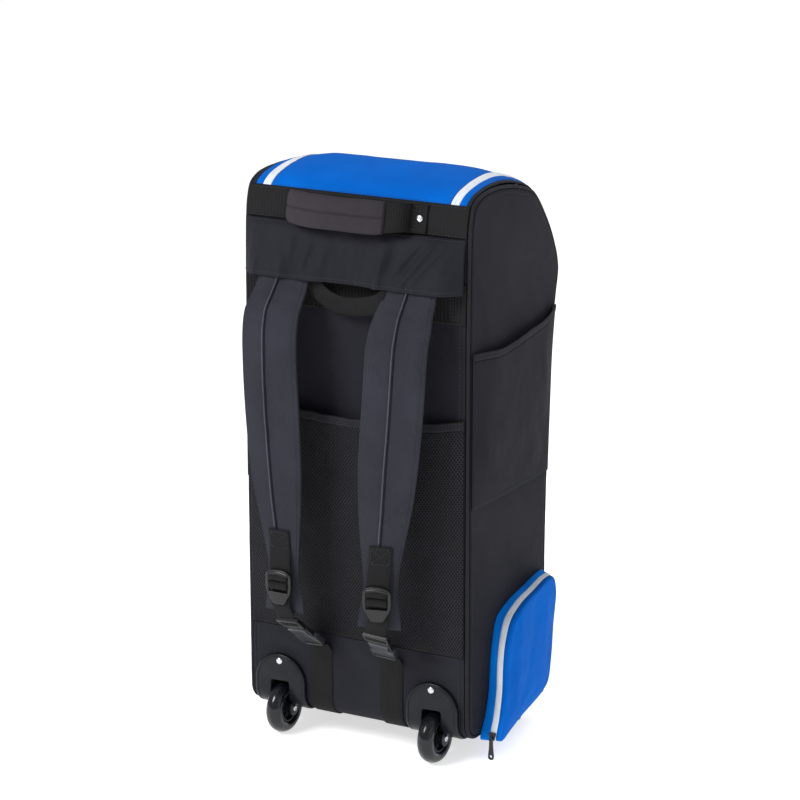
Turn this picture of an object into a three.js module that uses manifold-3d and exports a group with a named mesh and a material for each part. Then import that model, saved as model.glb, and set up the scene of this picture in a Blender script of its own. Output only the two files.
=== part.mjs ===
// A wheeled cricket kit bag that stands upright, with padded backpack straps.
// Millimetres. Facing the straps, +X is to the right, +Y runs away to the front, +Z is up.
// The bag is drawn with its back face on y = 0 and the underside of its base on z = 0.
// The last lines move it so that it stands on z = 0 with the middle of its box over the origin.
import * as THREE from "three";
import { mergeVertices } from "three/addons/utils/BufferGeometryUtils.js";
import Module from "manifold-3d";

const wasm = await Module();
wasm.setup();

// Body
const bodyWidth = 360;
const baseDepth = 246;
const bodyHeight = 789;
const crownPuff = 18;
const sidePuff = 4;
const clothWall = 2;
const seamGap = 0.3;
const pipingRadius = 2.8;
const layGap = 0.6;

// Lid
const lidWidth = 288;
const lidZipWidth = 12;
const lidZipLift = 0.8;
const lidStripWidth = 12;
const frontHemHeight = 60;

// Bands and flap on the back
const lowerPanelHeight = 128;
const bandThick = 2;
const topBandWidth = 43;
const flapDrop = 76;
const flapReach = 28;
const flapPleatDepth = 1.2;
const flapPleats = 9;
const crownSeamHeight = 772;
const strapBandTop = 668;
const strapBandWidth = 60;

// Mesh pocket
const meshTop = 476;
const meshSag = 16;
const meshReach = 14;
const hemWidth = 13;
const hemThick = 3;

// Haul handle
const haulWidth = 39;
const haulThick = 2.4;
const haulSpan = 182;
const haulReach = 32;
const haulTail = 22;
const haulSleeveStart = -80;
const haulSleeveEnd = 66;
const haulSleeveHeight = 45;
const haulSleeveThick = 14;
const haulSleeveCorner = 0.35; // share of the sleeve's thickness
const rivetRadius = 5;
const rivetHeight = 2;

// Grab loop
const grabWidth = 27;
const grabThick = 2;
const grabSpan = 98;
const grabReach = 22;
const grabTop = 672;
const grabSag = 50;

// Shoulder straps
const strapTop = 715;
const strapBottom = 178;
const strapReach = 73;
const strapSpread = 103;
const strapWidth = 88;
const strapThick = 11;
const strapTurn = { left: 0, right: 13 };

// Hardware of the shoulder straps
const tabWidth = 33;
const tabTop = 300;
const tabThick = 2;
const tabLap = 4;
const lockWidth = 41;
const lockHeight = 51;
const lockThick = 5;
const lockTop = 244;
const lockStand = 10;
const lockBar = 6;
const lockCorner = 7;
const lockSlotEase = 1.5;
const adjusterWidth = 30;
const adjusterThick = 1.8;
const clipWidth = 38;
const clipLength = 78;
const clipThick = 12;
const clipTopSpread = 0.7; // share of the straps' spread
const clipTopHeight = 168;
const clipTopReach = 74;
const clipFootHeight = 118;
const clipWindow = 14;
const anchorSpread = 58;
const anchorWidth = 38;
const anchorThick = 1.8;
const anchorUnder = 70;

// Slip pockets on the sides
const slipFloor = 345;
const slipHemHeight = 559;
const slipHemLift = 28;
const slipReach = 13;

// Shoe pocket at the foot of the right side
const bootBack = 38;
const bootFloor = -4;
const bootDepth = 205;
const bootHeight = 198;
const bootReach = 32;
const bootDome = 5;
const bootMiddleDepth = 0.45; // shares of the pocket's depth and height
const bootMiddleHeight = 0.55;
const bootZipStart = 16;
const bootZipWidth = 7.5;
const pullerLength = 34;
const pullerWidth = 9;
const pullerThick = 3.2;
const sliderLength = 12;

// Wheels
const wheelRadius = 38;
const wheelWidth = 25;
const wheelSpread = 125.5;
const axleSetback = 4;
const axleHeight = 1;
const axleRadius = 3;
const axleHeadRadius = 4;
const axleHeadThick = 1.5;
const boreGap = 0.4;
const hubRadius = 21.5;
const hubWidth = 27;
const hubBarrelRadius = 8.5;
const hubWeb = 7;
const hubRimWidth = 18;
const hubRimThick = 3;
const cheekThick = 2.5;
const cheekGap = 1.2;
const wheelGap = 5;
const earRadius = 11;
const housingWidth = 83;
const housingHeight = 85;
const housingStand = 8;
const housingSlotTop = 44;
const housingSlotCorner = 6;
const housingRivetHeight = 75;

// Front feet
const footSpread = 128;
const footSetback = 205;
const footLength = 56;
const footWidth = 34;
const footCorner = 12;

// Values that follow from the sizes above
const halfBody = bodyWidth / 2;
const skinHalf = halfBody - 2 * pipingRadius - seamGap;
const floorHeight = axleHeight - wheelRadius;
const wellHalf = hubWidth / 2 + cheekGap + cheekThick;
const wellRadius = wheelRadius + wheelGap;
const wellCutHalf = wellHalf + axleHeadThick + 2 * seamGap;
const bandOut = seamGap + bandThick;

// Finishes
const finish = (color, roughness, metalness = 0) =>
  new THREE.MeshStandardMaterial({ color, roughness, metalness });
const blackCloth = finish(0x1c1c22, 0.85);
const blueCloth = finish(0x0066d6, 0.7);
const zipTape = finish(0xe8ebee, 0.6);
const webbing = finish(0x16161a, 0.8);
const padding = finish(0x2f3038, 0.85);
const sleeveCloth = finish(0x35323a, 0.85);
const meshCloth = finish(0x101014, 0.9);
const plastic = finish(0x15161a, 0.4);
const housingPlastic = finish(0x1d2028, 0.3);
const rubber = finish(0x2a2d33, 0.3);
const steel = finish(0xc4c7cb, 0.3, 1);

const bag = new THREE.Group();

function addPiece(name, geometry, material) {
  const mesh = new THREE.Mesh(geometry, material);
  mesh.name = name;
  bag.add(mesh);
  return mesh;
}

// Turns a list of points and triangles into one closed geometry with its faces pointing out.
function closedGeometry(points, triangles) {
  let volume = 0;
  for (const [a, b, c] of triangles) {
    volume += points[a].dot(points[b].clone().cross(points[c]));
  }
  const geometry = new THREE.BufferGeometry();
  geometry.setAttribute("position", new THREE.Float32BufferAttribute(points.flatMap((p) => [p.x, p.y, p.z]), 3));
  geometry.setIndex(triangles.flatMap(([a, b, c]) => (volume > 0 ? [a, b, c] : [a, c, b])));
  return geometry;
}

// A thin wall between an outer and an inner surface. With wrap the columns run round a ring.
// With apex the last row closes on one point instead of a rim.
function sheet(rows, cols, outer, inner, { wrap = false, apex = null } = {}) {
  const points = [];
  const triangles = [];
  const width = wrap ? cols : cols + 1;
  const quad = (a, b, c, d) => triangles.push([a, b, c], [a, c, d]);
  for (const surface of [outer, inner]) {
    for (let row = 0; row <= rows; row += 1) {
      for (let col = 0; col < width; col += 1) {
        points.push(surface(row / rows, col / cols, row, col));
      }
    }
  }
  const layer = width * (rows + 1);
  const at = (side, row, col) => side * layer + row * width + (wrap ? col % cols : col);
  for (let row = 0; row < rows; row += 1) {
    for (let col = 0; col < cols; col += 1) {
      quad(at(0, row, col), at(0, row, col + 1), at(0, row + 1, col + 1), at(0, row + 1, col));
      quad(at(1, row, col), at(1, row + 1, col), at(1, row + 1, col + 1), at(1, row, col + 1));
    }
  }
  for (let col = 0; col < cols; col += 1) {
    quad(at(1, 0, col), at(1, 0, col + 1), at(0, 0, col + 1), at(0, 0, col));
    if (!apex) {
      quad(at(0, rows, col), at(0, rows, col + 1), at(1, rows, col + 1), at(1, rows, col));
    }
  }
  if (!wrap) {
    for (let row = 0; row < rows; row += 1) {
      quad(at(0, row, 0), at(0, row + 1, 0), at(1, row + 1, 0), at(1, row, 0));
      quad(at(1, row, cols), at(1, row + 1, cols), at(0, row + 1, cols), at(0, row, cols));
    }
  }
  if (apex) {
    const outerTip = points.push(apex.outer) - 1;
    const innerTip = points.push(apex.inner) - 1;
    for (let col = 0; col < cols; col += 1) {
      triangles.push([at(0, rows, col), at(0, rows, col + 1), outerTip]);
      triangles.push([at(1, rows, col + 1), at(1, rows, col), innerTip]);
    }
  }
  return closedGeometry(points, triangles);
}

// A solid through rings of points, either capped at both ends or joined into a loop.
function loft(rings, loop = false) {
  const around = rings[0].length;
  const points = rings.flat();
  const triangles = [];
  const steps = loop ? rings.length : rings.length - 1;
  for (let ring = 0; ring < steps; ring += 1) {
    const here = ring * around;
    const next = ((ring + 1) % rings.length) * around;
    for (let side = 0; side < around; side += 1) {
      const turn = (side + 1) % around;
      triangles.push([here + side, here + turn, next + turn], [here + side, next + turn, next + side]);
    }
  }
  if (!loop) {
    const last = (rings.length - 1) * around;
    const middle = (ring) => ring.reduce((sum, p) => sum.add(p), new THREE.Vector3()).divideScalar(around);
    const startTip = points.push(middle(rings[0])) - 1;
    const endTip = points.push(middle(rings[rings.length - 1])) - 1;
    for (let side = 0; side < around; side += 1) {
      const turn = (side + 1) % around;
      triangles.push([turn, side, startTip], [last + side, last + turn, endTip]);
    }
  }
  return closedGeometry(points, triangles);
}

// Rings of a section swept along a path. The section is a list of [across, out] pairs.
function sweepRings(path, acrossAt, section, loop = false) {
  return path.map((point, index) => {
    const before = path[loop ? (index - 1 + path.length) % path.length : Math.max(index - 1, 0)];
    const after = path[loop ? (index + 1) % path.length : Math.min(index + 1, path.length - 1)];
    const tangent = after.clone().sub(before).normalize();
    const across = acrossAt(index).clone();
    const out = across.clone().cross(tangent).normalize();
    return section.map(([a, o]) => point.clone().addScaledVector(across, a).addScaledVector(out, o));
  });
}

function flatSection(width, thick) {
  return [[-width / 2, -thick / 2], [width / 2, -thick / 2], [width / 2, thick / 2], [-width / 2, thick / 2]];
}

function smoothPath(points, steps) {
  return new THREE.CatmullRomCurve3(points, false, "centripetal").getSpacedPoints(steps);
}

// Straight or curved lookup in a table with named columns.
function lookUp(table, key, column, value) {
  const last = table.length - 1;
  if (value <= table[0][key]) return table[0][column];
  if (value >= table[last][key]) return table[last][column];
  const upper = table.findIndex((row) => row[key] >= value);
  const low = table[upper - 1];
  const high = table[upper];
  const share = (value - low[key]) / (high[key] - low[key]);
  return low[column] + (high[column] - low[column]) * share;
}

function asSolid(geometry) {
  const bare = geometry.clone();
  bare.deleteAttribute("normal");
  bare.deleteAttribute("uv");
  const merged = mergeVertices(bare, 1e-4);
  return new wasm.Manifold(new wasm.Mesh({
    numProp: 3,
    vertProperties: new Float32Array(merged.attributes.position.array),
    triVerts: new Uint32Array(merged.index.array),
  }));
}

function asGeometry(solid) {
  const mesh = solid.getMesh();
  const geometry = new THREE.BufferGeometry();
  geometry.setAttribute("position", new THREE.Float32BufferAttribute(mesh.vertProperties, 3));
  geometry.setIndex([...mesh.triVerts]);
  return geometry;
}

function boxBetween(low, high) {
  const size = high.map((value, axis) => value - low[axis]);
  const middle = high.map((value, axis) => (value + low[axis]) / 2);
  return new THREE.BoxGeometry(...size).translate(...middle);
}

// An outline drawn in (y, z) and pushed along X, or drawn in (x, z) and pushed towards the viewer.
function extrudeAlongX(shape, from, to) {
  const geometry = new THREE.ExtrudeGeometry(shape, { depth: to - from, bevelEnabled: false, curveSegments: 6 });
  const turn = new THREE.Matrix4().set(0, 0, 1, from, 1, 0, 0, 0, 0, 1, 0, 0, 0, 0, 0, 1);
  return geometry.applyMatrix4(turn);
}

function extrudeTowardsBack(shape, from, to) {
  const geometry = new THREE.ExtrudeGeometry(shape, { depth: from - to, bevelEnabled: false, curveSegments: 6 });
  const turn = new THREE.Matrix4().set(1, 0, 0, 0, 0, 0, -1, from, 0, 1, 0, 0, 0, 0, 0, 1);
  return geometry.applyMatrix4(turn);
}

function roundedBox(width, height, corner) {
  const shape = new THREE.Shape();
  const x = width / 2 - corner;
  const y = height / 2 - corner;
  shape.absarc(x, y, corner, 0, Math.PI / 2);
  shape.absarc(-x, y, corner, Math.PI / 2, Math.PI);
  shape.absarc(-x, -y, corner, Math.PI, 1.5 * Math.PI);
  shape.absarc(x, -y, corner, 1.5 * Math.PI, 2 * Math.PI);
  return shape;
}

// The side outline of the body, from the foot of the back, up, over the crown and down the front.
// Columns: depth and height are shares of the base depth and the body height,
// puff is the share of the crown puff that the cloth rises by midway between the sides.
const outline = [
  { depth: 0, height: 0, puff: 0 },
  { depth: 0, height: 0.3, puff: 0 },
  { depth: 0.004, height: 0.62, puff: 0 },
  { depth: 0.012, height: 0.86, puff: 0 },
  { depth: 0.022, height: 0.93, puff: 0 },
  { depth: 0.035, height: 0.955, puff: 0 },
  { depth: 0.065, height: 0.98, puff: 0 },
  { depth: 0.125, height: 0.992, puff: 0.06 },
  { depth: 0.21, height: 0.998, puff: 0.2 },
  { depth: 0.33, height: 1, puff: 0.5 },
  { depth: 0.5, height: 0.995, puff: 0.95 },
  { depth: 0.66, height: 0.984, puff: 1 },
  { depth: 0.8, height: 0.967, puff: 0.9 },
  { depth: 0.955, height: 0.915, puff: 0.7 },
  { depth: 1.061, height: 0.863, puff: 0.5 },
  { depth: 1.118, height: 0.812, puff: 0.3 },
  { depth: 1.094, height: 0.768, puff: 0.3 },
  { depth: 1.07, height: 0.731, puff: 0.35 },
  { depth: 1.037, height: 0.66, puff: 0.45 },
  { depth: 1.016, height: 0.565, puff: 0.5 },
  { depth: 0.99, height: 0.42, puff: 0.5 },
  { depth: 0.976, height: 0.28, puff: 0.35 },
  { depth: 0.982, height: 0.14, puff: 0.15 },
  { depth: 1, height: 0, puff: 0 },
];

// The outline is sampled closely once, and every panel reads its places from these samples.
const outlineSamples = [];
{
  const rows = outline.map((row) => new THREE.Vector3(row.puff * crownPuff, row.depth * baseDepth, row.height * bodyHeight));
  const curve = new THREE.CatmullRomCurve3(rows, false, "centripetal");
  const count = 900;
  let run = 0;
  for (let index = 0; index <= count; index += 1) {
    const here = curve.getPoint(index / count);
    const ahead = curve.getPoint(Math.min(1, (index + 0.5) / count));
    const behind = curve.getPoint(Math.max(0, (index - 0.5) / count));
    const slope = new THREE.Vector2(ahead.y - behind.y, ahead.z - behind.z).normalize();
    const before = outlineSamples[index - 1];
    run += before ? Math.hypot(here.y - before.y, here.z - before.z) : 0;
    outlineSamples.push({ run, y: here.y, z: here.z, puff: here.x, outY: -slope.y, outZ: slope.x });
  }
}
const outlineLength = outlineSamples[outlineSamples.length - 1].run;

function outlineAt(run) {
  const place = { run };
  for (const column of ["y", "z", "puff", "outY", "outZ"]) {
    place[column] = lookUp(outlineSamples, "run", column, run);
  }
  return place;
}

const crest = outlineSamples.reduce((best, sample, index) => (sample.z > outlineSamples[best].z ? index : best), 0);
const backSamples = outlineSamples.slice(0, crest);
const frontSamples = outlineSamples.slice(crest).reverse();
const backRun = (height) => lookUp(backSamples, "z", "run", height);
const frontRun = (height) => lookUp(frontSamples, "z", "run", height);
const backAt = (height) => lookUp(backSamples, "z", "y", height);
const frontAt = (height) => lookUp(frontSamples, "z", "y", height);

// Stations along the outline, close together where it turns and far apart where it is straight.
const stationTurn = Math.cos((14 * Math.PI) / 180);
const stationStep = 60;
const stationMargin = 4;
const stations = [outlineSamples[0]];
for (const sample of outlineSamples) {
  const last = stations[stations.length - 1];
  const turned = sample.outY * last.outY + sample.outZ * last.outZ < stationTurn;
  if (turned || sample.run - last.run > stationStep) stations.push(sample);
}

const stationsBetween = (from, to) => [
  from,
  ...stations.map((station) => station.run).filter((run) => run > from + stationMargin && run < to - stationMargin),
  to,
];

// How far the cloth swells between the sides: full in the middle, none at the piping.
const swell = (x) => 1 - Math.abs(x / halfBody) ** 6;

function skinPoint(x, run, out = 0) {
  const place = outlineAt(run);
  const lift = place.puff * swell(x) + out;
  return new THREE.Vector3(x, place.y + place.outY * lift, place.z + place.outZ * lift);
}

// A panel of the skin between two x values and two runs, its wall between two offsets.
function skinPanel({ left, right, from, to, cols = 1, outer = 0, inner = -clothWall }) {
  const runs = stationsBetween(from, to);
  const place = (offset) => (r, c, row) => skinPoint(left + (right - left) * c, runs[row], offset);
  return sheet(runs.length - 1, cols, place(outer), place(inner));
}

const sides = [
  { side: "left", sign: -1 },
  { side: "right", sign: 1 },
];

// Back, crown and front
const crownSeam = backRun(crownSeamHeight);
const frontSeam = frontRun(frontHemHeight);
const lowerSeam = backRun(lowerPanelHeight);
const halfSeam = seamGap / 2;

const wheelCut = (sign) => boxBetween(
  [sign * wheelSpread - wellCutHalf, -bandOut - clothWall, -clothWall],
  [sign * wheelSpread + wellCutHalf, axleSetback + wellRadius + cheekThick + seamGap,
    axleHeight + wellRadius + cheekThick + seamGap],
);

function cutForWheels(geometry) {
  let solid = asSolid(geometry);
  for (const { sign } of sides) {
    solid = solid.subtract(asSolid(wheelCut(sign)));
  }
  return asGeometry(solid);
}

addPiece("back_panel", skinPanel({
  left: -skinHalf, right: skinHalf, from: lowerSeam + halfSeam, to: crownSeam - halfSeam, cols: 2,
}), blackCloth);
addPiece("lower_panel", cutForWheels(skinPanel({
  left: -skinHalf, right: skinHalf, from: 0, to: lowerSeam - halfSeam, cols: 2,
})), blackCloth);
addPiece("base_panel", cutForWheels(boxBetween(
  [-skinHalf, clothWall + seamGap, 0],
  [skinHalf, baseDepth - clothWall - seamGap, clothWall],
)), blackCloth);
addPiece("front_hem", skinPanel({
  left: -skinHalf, right: skinHalf, from: frontSeam + halfSeam, to: outlineLength, cols: 8,
}), blackCloth);

const lidHalf = lidWidth / 2;
const zipEdge = lidHalf + lidZipWidth;
const stripEdge = zipEdge + lidStripWidth;
addPiece("lid_panel", skinPanel({
  left: -lidHalf + halfSeam, right: lidHalf - halfSeam, from: crownSeam + halfSeam, to: frontSeam - halfSeam, cols: 6,
}), blueCloth);
for (const { side, sign } of sides) {
  const band = (name, near, far, material, outer = 0) => addPiece(`${name}_${side}`, skinPanel({
    left: Math.min(sign * near, sign * far) + halfSeam,
    right: Math.max(sign * near, sign * far) - halfSeam,
    from: crownSeam + halfSeam,
    to: frontSeam - halfSeam,
    outer,
  }), material);
  band("lid_zip", lidHalf, zipEdge, zipTape, lidZipLift);
  band("lid_strip", zipEdge, stripEdge, blueCloth);
  band("gusset", stripEdge, skinHalf + halfSeam, blackCloth);
}

// Side panels and piping follow the same outline, set in from it.
function outlineInset(inset) {
  const ring = [];
  for (const run of stationsBetween(0, outlineLength)) {
    const place = outlineAt(run);
    ring.push({ y: place.y - place.outY * inset, z: Math.max(inset, place.z - place.outZ * inset) });
  }
  return ring;
}

const sidePuffAt = (y, z) => {
  const across = (y - backAt(z)) / (frontAt(z) - backAt(z));
  const up = z / bodyHeight;
  return sidePuff * Math.max(0, 1 - (2 * across - 1) ** 4) * Math.max(0, 1 - (2 * up - 1) ** 6);
};

const sideRing = outlineInset(2 * pipingRadius + seamGap);
const sideMiddle = { y: baseDepth / 2, z: bodyHeight / 2 };
const sideRingShares = [1, 0.8, 0.45];
const pipingSides = 6;
const pipingSection = Array.from({ length: pipingSides }, (unused, index) => {
  const angle = (2 * Math.PI * index) / pipingSides;
  return [pipingRadius * Math.cos(angle), pipingRadius * Math.sin(angle)];
});

for (const { side, sign } of sides) {
  const face = (depth) => (r, c, row, col) => {
    const share = sideRingShares[row];
    const y = sideMiddle.y + (sideRing[col].y - sideMiddle.y) * share;
    const z = sideMiddle.z + (sideRing[col].z - sideMiddle.z) * share;
    return new THREE.Vector3(sign * (halfBody + sidePuffAt(y, z) - depth), y, z);
  };
  const tip = (depth) => new THREE.Vector3(sign * (halfBody + sidePuff - depth), sideMiddle.y, sideMiddle.z);
  addPiece(`side_panel_${side}`, sheet(sideRingShares.length - 1, sideRing.length, face(0), face(clothWall), {
    wrap: true,
    apex: { outer: tip(0), inner: tip(clothWall) },
  }), blackCloth);
  const x = sign * (halfBody - pipingRadius);
  const path = outlineInset(pipingRadius).map((p) => new THREE.Vector3(x, p.y, p.z));
  const across = new THREE.Vector3(1, 0, 0);
  addPiece(`piping_${side}`, loft(sweepRings(path, () => across, pipingSection, true), true), webbing);
}

// Bands on the back
const bandLow = backRun(crownSeamHeight - topBandWidth);
addPiece("top_band", skinPanel({
  left: -skinHalf, right: skinHalf, from: bandLow, to: crownSeam, outer: bandOut, inner: seamGap,
}), webbing);
addPiece("strap_band", skinPanel({
  left: -skinHalf, right: skinHalf, from: backRun(strapBandTop - strapBandWidth), to: backRun(strapBandTop),
  outer: bandOut, inner: seamGap,
}), webbing);

// The flap over the strap roots. It is sewn along the top and the ends, and its hem stands off.
// Columns: down and across are shares of the drop and of the half width, rise a share of the reach.
const flapDown = [
  { down: 0, rise: 0 },
  { down: 0.08, rise: 0.3 },
  { down: 0.2, rise: 0.44 },
  { down: 0.5, rise: 0.64 },
  { down: 0.8, rise: 0.88 },
  { down: 1, rise: 1 },
];
const flapAcross = [
  { across: 0, rise: 0.7 },
  { across: 0.2, rise: 0.8 },
  { across: 0.28, rise: 1 },
  { across: 0.87, rise: 1 },
  { across: 0.95, rise: 0.5 },
  { across: 1, rise: 0 },
];
const flapTop = bandLow - seamGap;
const flapLap = 0.5;
const flapPoint = (offset) => (r, c) => {
  const x = skinHalf * (2 * c - 1);
  const down = lookUp(flapDown, "down", "rise", r);
  const across = lookUp(flapAcross, "across", "rise", Math.abs(2 * c - 1));
  const pleat = flapPleatDepth * Math.sin(Math.PI * flapPleats * (2 * c - 1)) * down;
  const seat = seamGap + bandOut * Math.min(1, r / flapLap);
  return skinPoint(x, flapTop - flapDrop * r, seat + offset + (flapReach * down + pleat) * across);
};
const flapRows = 5;
const flapCols = 22;
addPiece("yoke_flap", sheet(flapRows, flapCols, flapPoint(clothWall), flapPoint(0)), blackCloth);

// Mesh pocket, sewn down along its foot and sides, with a bound hem that sags
const meshSpread = (x) => 1 - Math.abs(x / skinHalf) ** 4;
const meshHemFoot = (x) => meshTop - hemWidth - meshSag * (1 - (x / skinHalf) ** 2);
const meshRise = (share) => Math.sin((Math.PI / 2) * Math.min(1, share * 1.6));
const meshPoint = (offset) => (r, c) => {
  const x = skinHalf * (2 * c - 1);
  const top = meshHemFoot(x) - layGap;
  const height = lowerPanelHeight + seamGap + (top - lowerPanelHeight - seamGap) * r;
  return skinPoint(x, backRun(height), seamGap + offset + (meshReach - seamGap) * meshRise(r) * meshSpread(x));
};
const meshHemPoint = (offset) => (r, c) => {
  const x = skinHalf * (2 * c - 1);
  return skinPoint(x, backRun(meshHemFoot(x) + hemWidth * r), seamGap + offset + (meshReach - seamGap) * meshSpread(x));
};
const meshCols = 12;
addPiece("mesh_pocket", sheet(6, meshCols, meshPoint(clothWall), meshPoint(0)), meshCloth);
addPiece("mesh_hem", sheet(1, meshCols, meshHemPoint(hemThick), meshHemPoint(0)), webbing);

// Haul handle, in the plane of the crown's rear edge
const haulRun = backRun(crownSeamHeight - topBandWidth / 2);
const haulPlace = outlineAt(haulRun);
const haulOut = new THREE.Vector3(0, haulPlace.outY, haulPlace.outZ);
const haulUp = new THREE.Vector3(0, haulPlace.outZ, -haulPlace.outY);
const haulSeat = bandOut + seamGap + haulThick / 2;
const haulPoint = (x, out) => skinPoint(x, haulRun).addScaledVector(haulOut, out);
// Columns: across is a share of half the span, out a share of the reach above the seat.
const haulHalfPath = [
  { across: 0.98, out: 0.12 },
  { across: 1, out: 0.3 },
  { across: 0.96, out: 0.6 },
  { across: 0.86, out: 0.82 },
  { across: 0.6, out: 0.95 },
  { across: 0.3, out: 1 },
];
const haulRow = (sign) => (row) =>
  haulPoint((sign * row.across * haulSpan) / 2, haulSeat + (haulReach - haulSeat) * row.out);
const haulEnd = (sign, share) => haulPoint(sign * (haulSpan / 2 + haulTail * share), haulSeat);
const haulPath = smoothPath([
  haulEnd(-1, 1), haulEnd(-1, 0.6), haulEnd(-1, 0.2),
  ...haulHalfPath.map(haulRow(-1)),
  ...haulHalfPath.map(haulRow(1)).reverse(),
  haulEnd(1, 0.2), haulEnd(1, 0.6), haulEnd(1, 1),
], 28);
addPiece("haul_webbing", loft(sweepRings(haulPath, () => haulUp, flatSection(haulWidth, haulThick))), webbing);

const sleevePath = haulPath.filter((p) => p.x >= haulSleeveStart && p.x <= haulSleeveEnd);
const eightSided = (width, thick, corner) => {
  const across = width / 2;
  const out = thick / 2;
  return [
    [corner - across, -out], [across - corner, -out], [across, corner - out], [across, out - corner],
    [across - corner, out], [corner - across, out], [-across, out - corner], [-across, corner - out],
  ];
};
const sleeveOuter = sweepRings(sleevePath, () => haulUp,
  eightSided(haulSleeveHeight, haulSleeveThick, haulSleeveThick * haulSleeveCorner));
const sleeveInner = sweepRings(sleevePath, () => haulUp,
  eightSided(haulWidth + 4 * seamGap, haulThick + 4 * seamGap, seamGap));
addPiece("haul_sleeve", sheet(sleevePath.length - 1, sleeveOuter[0].length,
  (r, c, row, col) => sleeveOuter[row][col], (r, c, row, col) => sleeveInner[row][col], { wrap: true }), sleeveCloth);

// A domed rivet head, its flat side on the seat.
function rivet(seat, out) {
  const profile = [[0, 0], [rivetRadius, 0], [rivetRadius, rivetHeight * 0.35],
    [rivetRadius * 0.7, rivetHeight * 0.85], [0, rivetHeight]];
  const dome = new THREE.LatheGeometry(profile.map(([x, y]) => new THREE.Vector2(x, y)), 8);
  dome.applyQuaternion(new THREE.Quaternion().setFromUnitVectors(new THREE.Vector3(0, 1, 0), out));
  return dome.translate(seat.x, seat.y, seat.z);
}
for (const { side, sign } of sides) {
  const seat = haulPoint(sign * (haulSpan / 2 + haulTail / 2), haulSeat + haulThick / 2 + seamGap);
  addPiece(`haul_rivet_${side}`, rivet(seat, haulOut), steel);
}

// Grab loop that hangs from under the flap. Columns: across is a share of half the span,
// down a share of the sag and out a share of the reach.
const grabHalfPath = [
  { across: 0.74, down: 0, out: 0 },
  { across: 0.95, down: 0.16, out: 0.16 },
  { across: 1, down: 0.38, out: 0.52 },
  { across: 0.86, down: 0.66, out: 0.8 },
  { across: 0.56, down: 0.88, out: 0.94 },
  { across: 0.2, down: 1, out: 1 },
];
const grabTilt = 0.12;
const grabSeat = bandOut + seamGap + (grabThick + grabTilt * grabWidth) / 2;
const grabRow = (sign) => (row) => new THREE.Vector3(
  (sign * row.across * grabSpan) / 2,
  backAt(grabTop) - grabSeat - (grabReach - grabSeat) * row.out,
  grabTop - grabSag * row.down,
);
const grabPath = smoothPath([...grabHalfPath.map(grabRow(-1)), ...grabHalfPath.map(grabRow(1)).reverse()], 22);
const grabLean = new THREE.Vector3(0, -grabTilt, 1).normalize();
addPiece("grab_loop", loft(sweepRings(grabPath, () => grabLean, flatSection(grabWidth, grabThick))), webbing);

// Shoulder straps. Columns: down is a share of the strap's drop, reach a share of the way from the
// sewn root to the strap's full reach, spread, width and thick are shares of those sizes,
// and turn is a share of the strap's turn about its own length.
const strapTable = [
  { down: 0, reach: 0, spread: 0.96, width: 0.98, thick: 0.7, turn: 0 },
  { down: 0.025, reach: 0, spread: 0.96, width: 0.98, thick: 0.7, turn: 0 },
  { down: 0.047, reach: 0.08, spread: 0.96, width: 0.98, thick: 0.75, turn: 0 },
  { down: 0.102, reach: 0.259, spread: 0.965, width: 0.99, thick: 0.8, turn: 0.05 },
  { down: 0.136, reach: 0.394, spread: 0.98, width: 1, thick: 0.9, turn: 0.2 },
  { down: 0.166, reach: 0.607, spread: 0.99, width: 1, thick: 0.95, turn: 0.4 },
  { down: 0.196, reach: 0.775, spread: 1, width: 1, thick: 1, turn: 0.7 },
  { down: 0.251, reach: 0.91, spread: 0.99, width: 1, thick: 1, turn: 1 },
  { down: 0.345, reach: 0.96, spread: 0.97, width: 1, thick: 1, turn: 1 },
  { down: 0.453, reach: 0.983, spread: 0.935, width: 1, thick: 1, turn: 1 },
  { down: 0.568, reach: 1, spread: 0.89, width: 0.98, thick: 1, turn: 1 },
  { down: 0.67, reach: 1, spread: 0.85, width: 0.9, thick: 1, turn: 1 },
  { down: 0.754, reach: 1, spread: 0.81, width: 0.8, thick: 1, turn: 1 },
  { down: 0.838, reach: 0.983, spread: 0.78, width: 0.7, thick: 0.95, turn: 1 },
  { down: 0.924, reach: 0.966, spread: 0.765, width: 0.66, thick: 0.8, turn: 1 },
  { down: 1, reach: 0.961, spread: 0.755, width: 0.69, thick: 0.45, turn: 1 },
];
const strapDrop = strapTop - strapBottom;
const strapRoot = seamGap + strapThick * strapTable[0].thick;
const strapFace = (share) => strapRoot + (strapReach - strapRoot) * share;
const strapSection = [
  [-1, -0.35], [-0.9, -0.85], [-0.4, -1], [0.4, -1], [0.9, -0.85], [1, -0.35],
  [1, 0.35], [0.9, 0.85], [0.4, 1], [-0.4, 1], [-0.9, 0.85], [-1, 0.35],
];

// Place, directions and sizes of a strap at a height. The outer face stands at the reach.
function strapAt(side, sign, height) {
  const down = (strapTop - height) / strapDrop;
  const read = (column) => lookUp(strapTable, "down", column, down);
  const step = 0.02;
  const slope = strapFace(lookUp(strapTable, "down", "reach", down - step))
    - strapFace(lookUp(strapTable, "down", "reach", down + step));
  const rise = (Math.min(1, down + step) - Math.max(0, down - step)) * strapDrop;
  const turn = (strapTurn[side] * read("turn") * Math.PI) / 180;
  const along = new THREE.Vector3(0, -slope, rise).normalize();
  const across = new THREE.Vector3(Math.cos(turn), Math.sin(turn), 0);
  const out = along.clone().cross(across).normalize().multiplyScalar(-1);
  const thick = strapThick * read("thick");
  const face = new THREE.Vector3(
    sign * strapSpread * read("spread"), backAt(height) - strapFace(read("reach")), height);
  const middle = face.clone().addScaledVector(out, -thick / 2);
  return { middle, across, out, width: strapWidth * read("width"), thick };
}

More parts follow.
